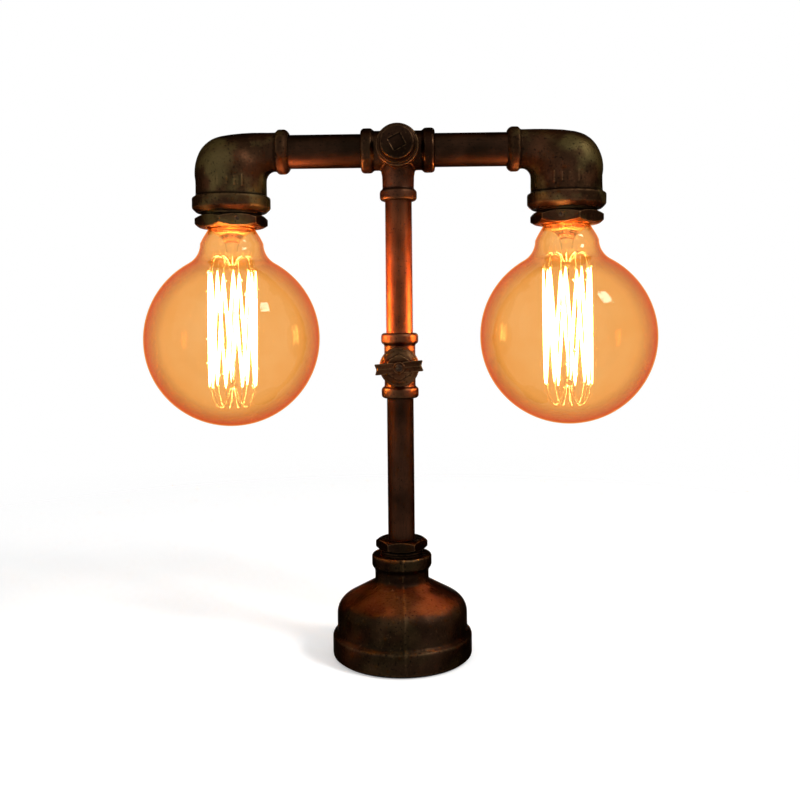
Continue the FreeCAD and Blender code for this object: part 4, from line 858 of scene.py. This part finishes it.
def bar(place, size, turn):
    """A low raised bar, turned about the upright."""

    def into(form):
        bmesh.ops.create_cube(form, size=1.0, matrix=sized(place, size, turn))

    return into


def on_bell(radius, height, degrees):
    """A place on the base, counted from the front."""
    turn = math.radians(degrees)
    return (radius * math.sin(turn), -radius * math.cos(turn), height)


def seam_of_bell(degrees):
    """The parting seam from the top bead down to the band of the mouth."""
    line = [(23.8, 80.5), (23.8, 74.0), (21.4, 69.8), (21.3, 60.4)]
    line += [(24.0, 57.6), (34.0, 52.1), (43.0, 47.1)]
    for k in range(6):
        t = math.radians(61 - 12.2 * k)
        line.append((37.6 + 14 * math.cos(t), 34.05 + 14 * math.sin(t)))
    line += [(51.6, 27.0), (51.6, 21.2), (55.2, 17.4), (55.2, 4.0)]
    return ridge([on_bell(radius - 0.1, height, degrees) for radius, height in line], 0.85)


# %% Base, tee and valve body
# radius from the axis, height, degrees from the front, size of the pip
PIPS = ((25.6, 57.2, -16, 1.1), (32.0, 53.4, -5.5, 0.9), (51.3, 25, 31, 0.8))

base_casting = cast_copy(
    "base_casting",
    "base_reducer",
    base_iron,
    cell=0.95,
    settle=3,
    swell=0.35,
    grain=0.16,
    extras=[seam_of_bell(3.4)] + [ball(on_bell(*at), (size,) * 3) for *at, size in PIPS],
)
cast_copy(
    "tee_casting", "side_outlet_tee", small_iron, cell=0.7, settle=4, swell=0.25, grain=0.1
)
cast_copy("valve_casting", "valve_body", bronzed, cell=0.6, settle=4, swell=0.2, grain=0.1)

# %% Elbows
SIDES = (("left", -1), ("right", 1))
ARM_REACH, RUN_HEIGHT = 133.8, 401.3
ELBOW_LARGE, ELBOW_SMALL, ELBOW_THROAT, BEND_POWER = 28.2, 15.5, 7.0, 3.5
BAR_TALLS, BAR_WIDTH, BAR_DEPTH = (8.6, 7.2, 7.2, 8.6), 2.0, 1.1
BAR_HEIGHT, BAR_SPACING, BARS_INWARDS = 375.4, 5.8, 4.0


def seam_of_bend(side):
    """The parting seam, a thin ridge over the back of the bend."""
    wide, high = 2 * ELBOW_LARGE + ELBOW_THROAT, 2 * ELBOW_SMALL + ELBOW_THROAT
    pivot = (ELBOW_LARGE + ELBOW_THROAT, -ELBOW_SMALL - ELBOW_THROAT)
    line = []
    for k in range(41):
        t = math.radians(90) * k / 40
        bend = (math.cos(t) / wide) ** BEND_POWER + (math.sin(t) / high) ** BEND_POWER
        far = bend ** (-1 / BEND_POWER) - 0.15
        x, z = pivot[0] - far * math.cos(t), pivot[1] + far * math.sin(t)
        line.append((side * (ARM_REACH - x), 0.0, RUN_HEIGHT + z))
    return ridge(line, 0.6)


for word, side in SIDES:
    marks = [seam_of_bend(side)]
    for k, tall in enumerate(BAR_TALLS):
        x = -side * BARS_INWARDS + (k - 1.5) * BAR_SPACING
        y = -math.sqrt(ELBOW_LARGE**2 - x**2) - 0.05
        place = (side * ARM_REACH + x, y, BAR_HEIGHT)
        marks.append(bar(place, (BAR_WIDTH, BAR_DEPTH, tall), math.atan2(-x, -y)))
    cast_copy(
        f"elbow_casting_{word}",
        f"elbow_{word}",
        iron,
        cell=0.8,
        settle=4,
        swell=0.5,
        grain=0.12,
        extras=marks,
    )

# %% [markdown]
# ## Hexagons, plug and handle
# These are cast and then cut: the flats are crisper than the bodies and
# their corners catch the light. They go through the same cells, only
# smaller ones, so that the edges are broken but not melted.

# %% Bushing, nuts, bonnet, plug, handle
VALVE_HEIGHT = 229.8
DOME_RADIUS, DOME_RISE, DOME_SET_BACK = 12.9, 3.4, 4.2

bushing_hex = cast_copy(
    "bushing_hex", "base_bushing", small_iron, cell=0.5, settle=2, swell=0.12, grain=0.06
)
for word, _ in SIDES:
    cast_copy(
        f"nut_{word}", f"socket_nut_{word}", iron, cell=0.52, settle=2, swell=0.14, grain=0.07
    )
dome_middle = (0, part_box("valve_bonnet")[0].y / MM + DOME_SET_BACK, VALVE_HEIGHT)
cast_copy(
    "bonnet_hex",
    "valve_bonnet",
    dull_bronze,
    cell=0.42,
    settle=5,
    swell=0.1,
    grain=0.05,
    extras=[ball(dome_middle, (DOME_RADIUS, DOME_RISE, DOME_RADIUS), fineness=4)],
)
cast_copy("plug_casting", "face_plug", small_iron, cell=0.42, settle=2, swell=0.12, grain=0.06)
cast_copy("handle_casting", "valve_handle", dull_bronze, cell=0.3, settle=2, swell=0.1, grain=0.05)

# %% [markdown]
# ## Pipes
# A pipe follows a path, so a tree sweeps a circle along a line. Drawing
# leaves it very slightly uneven. Solidify then gives the open tube its
# wall, inwards.

# %% Pipe tree and the four pipes
HALF_INCH = {"outside": 10.65, "inside": 7.9}
THREE_QUARTER_INCH = {"outside": 13.45, "inside": 10.5}
RING_SPACING = 2.2 * MM


def pipe_tree(material):
    """Sweeps a circle along a line and makes the tube slightly uneven."""
    pipe = Tree(
        "pipe_" + material.name,
        Start=(0.0, 0.0, 0.0),
        End=(0.0, 0.0, 0.1),
        Radius=10 * MM,
        Uneven=0.05 * MM,
    )
    line = pipe.add("CurvePrimitiveLine", Start=pipe.size("Start"), End=pipe.size("End"))
    line = pipe.add("ResampleCurve", {"mode": "LENGTH"}, Curve=line, Length=RING_SPACING)
    ring = pipe.add("CurvePrimitiveCircle", Resolution=96, Radius=pipe.size("Radius"))
    tube = pipe.add("CurveToMesh", Curve=line, Profile_Curve=ring)
    noise = pipe.add("ShaderNodeTexNoise", Vector=pipe.add("InputPosition"), Scale=60.0, Detail=2.0)
    out = pipe.add(
        "ShaderNodeVectorMath",
        {"operation": "SCALE"},
        n0=pipe.add("InputNormal"),
        Scale=pipe.maths("MULTIPLY", pipe.maths("SUBTRACT", noise, 0.6), pipe.size("Uneven")),
    )
    pipe.end(pipe.add("SetPosition", Geometry=tube, Offset=out), material)
    return pipe


def make_pipe(name, node, tree, outside, inside):
    """One length of pipe where its CAD node is."""
    low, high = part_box(node)
    middle = (low + high) / 2
    along = max(range(3), key=lambda k: high[k] - low[k])
    start, end = middle.copy(), middle.copy()
    start[along], end[along] = low[along], high[along]
    ends = {"Start": tuple(start), "End": tuple(end)}
    piece = grown_piece(name, tree, **ends, Radius=outside * MM, Uneven=0.12 * MM)
    wall = piece.modifiers.new("wall", "SOLIDIFY")
    wall.thickness = (outside - inside) * MM
    wall.offset = -1
    bake_modifiers(piece)
    piece.data.shade_smooth()
    hand_over(piece, node)


lower, upper, across = pipe_tree(lower_finish), pipe_tree(upper_glow_painted_finish), pipe_tree(arm_finish)
make_pipe("pipe_riser_lower", "riser_lower", lower, **HALF_INCH)
make_pipe("pipe_riser_upper", "riser_upper", upper, **HALF_INCH)
for word, _ in SIDES:
    make_pipe(f"pipe_arm_{word}", f"arm_pipe_{word}", across, **THREE_QUARTER_INCH)

# %% [markdown]
# ## The bulbs
# The globe is blown: a ball that runs into a neck in one soft curve, with
# an even thin wall. Inside stand a flared glass stem with two buttons, the
# nickel wires that spread from them, and one long carbon filament that
# runs up and down between their hooks, a squirrel cage.

# %% Sizes of a bulb, in millimetres
GLOBE_RADIUS = 69.4
THROAT_RADIUS, THROAT_BLEND, THROAT_TAPER = 25.0, 18.0, 2.2
MOUTH = 344.7
NECK_END = MOUTH - 16.5
BLEND_REACH = (GLOBE_RADIUS + THROAT_BLEND) ** 2 - (THROAT_RADIUS + THROAT_BLEND) ** 2
GLOBE_MIDDLE = NECK_END - math.sqrt(BLEND_REACH)
CAP_LOW = 343.9
SPIGOT_RADIUS, SHOULDER_RADIUS = 11.7, 18.5
WALL = 0.9
FOOT = GLOBE_MIDDLE - GLOBE_RADIUS
BUTTON_TOP, BUTTON_LOW = CAP_LOW - 34.4, FOOT + 31.8
CAGE_RADIUS, CAGE_TOP, CAGE_BOTTOM = 18.8, BUTTON_TOP - 3.0, FOOT + 30.8
ROD_RADIUS, BUTTON_RADIUS, BUTTON_HALF = 1.6, 3.4, 3.0
STEM_BELOW_CAP = 4
# radius and drop below the top of the stem
STEM_FORM = ((0.0, 0), (17.4, 0), (17.0, 1.2), (6.4, 9), (4.4, 17), (4.2, 24), (ROD_RADIUS, 27))
FILAMENT_WIRE, SUPPORT_WIRE, HOOK_EYE = 1.15, 0.4, 0.8
ROOT_RADIUS, ROOT_LIFT = 2.4, 1.6
HOOKS = 9
print("globe middle", round(GLOBE_MIDDLE, 1), "mm above the table")


def globe_line(inset):
    """Half section from the cap down to the foot of the globe."""
    radius, neck, blend = GLOBE_RADIUS - inset, THROAT_RADIUS - inset, THROAT_BLEND + inset
    line = softened(
        [
            (SPIGOT_RADIUS - inset, CAP_LOW + 6),
            (SPIGOT_RADIUS - inset, CAP_LOW - 0.6 - inset),
            (SHOULDER_RADIUS - inset, CAP_LOW - 1.2 - inset),
            (SHOULDER_RADIUS - inset, MOUTH - 5.0),
            (neck - THROAT_TAPER, MOUTH - 11.9),
            (neck, NECK_END),
        ],
        3.0,
    )
    hub = (neck + blend, NECK_END)
    reach = math.hypot(hub[0], hub[1] - GLOBE_MIDDLE)
    touch = math.atan2(hub[1] - GLOBE_MIDDLE, hub[0])
    turn_end = touch + math.pi
    for k in range(1, 17):
        a = math.pi + (turn_end - math.pi) * k / 16
        line.append((hub[0] + blend * math.cos(a), hub[1] + blend * math.sin(a)))
    for k in range(1, 61):
        a = touch + (-math.pi / 2 - touch) * k / 60
        line.append((max(0.0, radius * math.cos(a)), GLOBE_MIDDLE + radius * math.sin(a)))
    line[-1] = (0.0, GLOBE_MIDDLE - radius)
    return [(r * MM, z * MM) for r, z in line]


# %% Glass and stem
def stem_line():
    """Flared foot, press, rod and the two buttons, as one solid outline."""
    top = CAP_LOW - STEM_BELOW_CAP
    line = softened([(radius, top - drop) for radius, drop in STEM_FORM], 2.5)

    def button(level):
        """Half the outline of a button, from its top down."""
        outline, swell = [], BUTTON_RADIUS - ROD_RADIUS
        for k in range(13):
            t = math.pi * k / 12
            outline.append((ROD_RADIUS + swell * math.sin(t), level + BUTTON_HALF * math.cos(t)))
        return outline

    line += button(BUTTON_TOP) + [(ROD_RADIUS, BUTTON_LOW + 8)] + button(BUTTON_LOW)
    line += [(0.8, BUTTON_LOW - 3.2), (0.0, BUTTON_LOW - 3.4)]
    return [(r * MM, z * MM) for r, z in line]


# %% [markdown]
# ### The filament and its wires as trees
# The cage is a rule: point k stands at k half-steps round the circle, high
# if k is even and low if it is odd. The wires are one bent wire, placed on
# every corner of a circle and turned to face outwards.

# %% Filament tree
def filament_tree():
    """One line that zigzags round a circle, thicker in the middle of each strand."""
    cage = Tree(
        "squirrel_cage",
        Hooks=HOOKS,
        Radius=20 * MM,
        Top=0.3,
        Bottom=0.2,
        Wire=0.3 * MM,
        Middle=(0.0, 0.0, 0.0),
        Turn=0.0,
    )
    hooks, radius = cage.size("Hooks"), cage.size("Radius")
    top, bottom = cage.size("Top"), cage.size("Bottom")
    count = cage.maths("MULTIPLY", hooks, 2.0)
    line = cage.add("MeshLine", Count=count, Offset=(0.0, 0.0, 0.001))
    index = cage.add("InputIndex")
    half_step = cage.maths("DIVIDE", math.pi, hooks)
    angle = cage.maths("ADD", cage.maths("MULTIPLY", index, half_step), cage.size("Turn"))
    odd = cage.maths("MODULO", index, 2.0)
    drop = cage.maths("MULTIPLY", odd, cage.maths("SUBTRACT", bottom, top))
    corner = cage.place(
        x=cage.maths("MULTIPLY", cage.maths("COSINE", angle), radius),
        y=cage.maths("MULTIPLY", cage.maths("SINE", angle), radius),
        z=cage.maths("ADD", top, drop),
    )
    middle = cage.size("Middle")
    corner = cage.add("ShaderNodeVectorMath", {"operation": "ADD"}, n0=corner, n1=middle)
    bent = cage.add("SetPosition", Geometry=line, Position=corner)
    curve = cage.add("MeshToCurve", Mesh=bent)
    curve = cage.add("SubdivideCurve", Curve=curve, Cuts=24)
    ring = cage.add("CurvePrimitiveCircle", Resolution=8, Radius=cage.size("Wire"))
    level = cage.add("ShaderNodeSeparateXYZ", Vector=cage.add("InputPosition")).outputs[2]
    risen, tall = cage.maths("SUBTRACT", level, bottom), cage.maths("SUBTRACT", top, bottom)
    share = cage.maths("DIVIDE", risen, tall)
    bulge = cage.maths("MULTIPLY", share, cage.maths("SUBTRACT", 1.0, share))
    bulge = cage.maths("MAXIMUM", cage.maths("MULTIPLY", bulge, 4.0), 0.0)
    bulge = cage.maths("MULTIPLY", cage.maths("POWER", bulge, 0.45), 0.7)
    bulge = cage.maths("ADD", 0.3, bulge)
    swept = {"Curve": curve, "Profile_Curve": ring, "Scale": bulge, "Fill_Caps": True}
    cage.end(cage.add("CurveToMesh", **swept), glow)
    return cage


# %% Support wires tree
def wires_tree():
    """One bent wire with an eye at its end, placed round a circle."""
    wires = Tree(
        "support_wires",
        Hooks=HOOKS,
        Middle=(0.0, 0.0, 0.0),
        Root=(2.0 * MM, 0.0, 0.0),
        Knee=(12 * MM, 0.0, 6 * MM),
        End=(20 * MM, 0.0, 0.0),
        Wire=0.3 * MM,
        Turn=0.0,
    )
    arch = wires.add(
        "CurveQuadraticBezier",
        Resolution=14,
        Start=wires.size("Root"),
        Middle=wires.size("Knee"),
        End=wires.size("End"),
    )
    ring = wires.add("CurvePrimitiveCircle", Resolution=6, Radius=wires.size("Wire"))
    wire = wires.add("CurveToMesh", Curve=arch, Profile_Curve=ring, Fill_Caps=True)
    eye = wires.add("CurvePrimitiveCircle", Resolution=12, Radius=HOOK_EYE * MM)
    eye = wires.add("CurveToMesh", Curve=eye, Profile_Curve=ring)
    upright = (math.pi / 2, 0.0, 0.0)
    eye = wires.add("Transform", Geometry=eye, Translation=wires.size("End"), Rotation=upright)
    both = wires.add("JoinGeometry")
    for made in (wire, eye):
        wires.tree.links.new(made.outputs[0], both.inputs[0])
    spots = wires.add("MeshLine", Count=wires.size("Hooks"), Offset=(0.0, 0.0, 0.0))
    spots = wires.add("SetPosition", Geometry=spots, Position=wires.size("Middle"))
    index, step = wires.add("InputIndex"), wires.maths("DIVIDE", 2 * math.pi, wires.size("Hooks"))
    angle = wires.maths("MULTIPLY", index, step)
    turn = wires.place(z=wires.maths("ADD", angle, wires.size("Turn")))
    placed = wires.add("InstanceOnPoints", Points=spots, Instance=both, Rotation=turn)
    wires.end(placed, nickel)
    return wires


# %% The rolled thread of the cap
def rolled_cap(name, axis_x):
    """A brass cap whose sheet is rolled into a real helix."""
    crest, deep, sheet, pitch, length = 13.2, 1.0, 0.5, 3.629, 21.8
    run_in, run_out, shoulder_height, shoulder_depth = 2.0, 3.0, 1.6, 1.4
    around, up = 96, 90
    points, faces = [], []
    for wall in (0.0, sheet):
        for j in range(up + 1):
            z = length * j / up
            fade = min(1.0, z / run_in, (length - z) / run_out)
            risen = max(0.0, (z - length + shoulder_height) / shoulder_height)
            shoulder = risen**2 * shoulder_depth
            for k in range(around):
                wave = 0.5 - 0.5 * math.cos(2 * math.pi * (z / pitch - k / around))
                radius = crest - shoulder - wall - deep * (1 - wave) * max(0.0, fade)
                a = 2 * math.pi * k / around
                x, y = axis_x + radius * math.cos(a), radius * math.sin(a)
                points.append((x * MM, y * MM, (CAP_LOW + z) * MM))
    skip = around * (up + 1)
    for k in range(around):
        n = (k + 1) % around
        for j in range(up):
            a, b = j * around, (j + 1) * around
            faces.append((a + k, a + n, b + n, b + k))
            faces.append((skip + a + n, skip + a + k, skip + b + k, skip + b + n))
        faces.append((n, k, skip + k, skip + n))
        last = up * around
        faces.append((last + k, last + n, skip + last + n, skip + last + k))
    return new_piece(name, points, faces, brass)


# %% Build both bulbs
CAGE_SPIN = {"left": 4, "right": 17}
# name, height of the button, lift and share of the knee, height of the hooks, turn
WIRE_SETS = (
    ("top", BUTTON_TOP, 17.5, 0.88, CAGE_TOP, 0.0),
    ("low", BUTTON_LOW, -33.0, 0.62, CAGE_BOTTOM, math.pi / HOOKS),
)

cage_tree, spider_tree = filament_tree(), wires_tree()
for word, side in SIDES:
    axis = (side * ARM_REACH * MM, 0.0)
    turn = math.radians(CAGE_SPIN[word])
    wall = globe_line(0) + globe_line(WALL)[::-1]
    globe = lathe(f"globe_{word}", wall, amber, axis, steps=192)
    hand_over(globe, f"bulb_glass_{word}")
    stem = lathe(f"stem_{word}", stem_line(), clear, axis, steps=48)
    hand_over(stem, f"bulb_stem_{word}")
    filament = grown_piece(
        f"filament_wire_{word}",
        cage_tree,
        Hooks=HOOKS,
        Radius=CAGE_RADIUS * MM,
        Top=CAGE_TOP * MM,
        Bottom=CAGE_BOTTOM * MM,
        Wire=FILAMENT_WIRE * MM,
        Middle=(axis[0], 0.0, 0.0),
        Turn=turn,
    )
    hand_over(filament, f"filament_{word}")
    both_ends = []
    for name, level, lift, share, end, half in WIRE_SETS:
        both_ends.append(
            grown_piece(
                f"wires_{name}_{word}",
                spider_tree,
                Hooks=HOOKS,
                Middle=(axis[0], 0.0, level * MM),
                Root=(ROOT_RADIUS * MM, 0.0, math.copysign(ROOT_LIFT, lift) * MM),
                Knee=(CAGE_RADIUS * share * MM, 0.0, lift * MM),
                End=((CAGE_RADIUS - HOOK_EYE) * MM, 0.0, (end - level) * MM),
                Wire=SUPPORT_WIRE * MM,
                Turn=turn + half,
            )
        )
    hand_over(both_ends[0], f"filament_hooks_{word}")
    hand_over(both_ends[1], body=f"bulb_{word}")
    cap = rolled_cap(f"cap_thread_{word}", side * ARM_REACH)
    hand_over(cap, f"bulb_cap_{word}")


# %% [markdown]
# ## Light of the bulbs
# The filament glows by its own material. A small warm light inside each
# cage carries that glow to the pipes, with far less grain than the thin
# wire would give by itself.

# %% A warm light in each cage
GLOW_POWER = {"left": 6.2, "right": 5.1}
GLOW_COLOUR = (1.0, 0.38, 0.21)
GLOW_HEIGHT, GLOW_RADIUS = 262, 18

beyond_the_glow = bpy.data.collections.new("beyond_the_glow")
for k, shaded in enumerate((floor, base_casting, bushing_hex)):
    beyond_the_glow.objects.link(shaded)
    beyond_the_glow.collection_objects[k].light_linking.link_state = "EXCLUDE"
for word, side in SIDES:
    light = bpy.data.lights.new(f"glow_{word}", "POINT")
    light.energy = GLOW_POWER[word]
    light.color = GLOW_COLOUR
    light.shadow_soft_size = GLOW_RADIUS * MM
    warm = put(f"glow_{word}", light)
    warm.location = (side * ARM_REACH * MM, 0, GLOW_HEIGHT * MM)
    warm.visible_camera = warm.visible_transmission = False
    for source in (warm, bpy.data.objects[f"filament_wire_{word}"]):
        source.light_linking.receiver_collection = beyond_the_glow

# %% [markdown]
# ## The pieces that keep their CAD form
# Screws, contacts, the lampholder's porcelain, the switch and the wiring
# are right as they are and only get their finish.

# %% Finishes for the CAD nodes
# a star stands for left and for right
KEPT = {
    zinc: "ballast_disc ballast_screws",
    dark_screw: "handle_screw socket_set_screw_*",
    brass: "earth_screw terminal_screws switch_terminals switch_spindle"
    " screw_shell_* holder_terminals_*",
    copper: "centre_contact_*",
    solder: "cap_eyelet_*",
    vitrite: "cap_insulator_*",
    rubber: "cord_grommet foot_pad",
    plastic: "terminal_block switch_housing switch_cover wire_connectors",
    porcelain: "lampholder_*",
    cotton: "flex_lower flex_upper flex_*",
}
finish_of = {}
for material, names in KEPT.items():
    for name in names.split():
        finish_of.update({name.replace("*", word): material for word, _ in SIDES})
for name, material in finish_of.items():
    for slot in nodes[name].material_slots:
        slot.material = material
print("kept nodes:", len(finish_of))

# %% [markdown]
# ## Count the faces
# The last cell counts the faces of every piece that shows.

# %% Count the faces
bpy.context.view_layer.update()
faces = sum(len(piece.data.polygons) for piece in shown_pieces() if piece.type == "MESH")
print("faces in all:", faces)
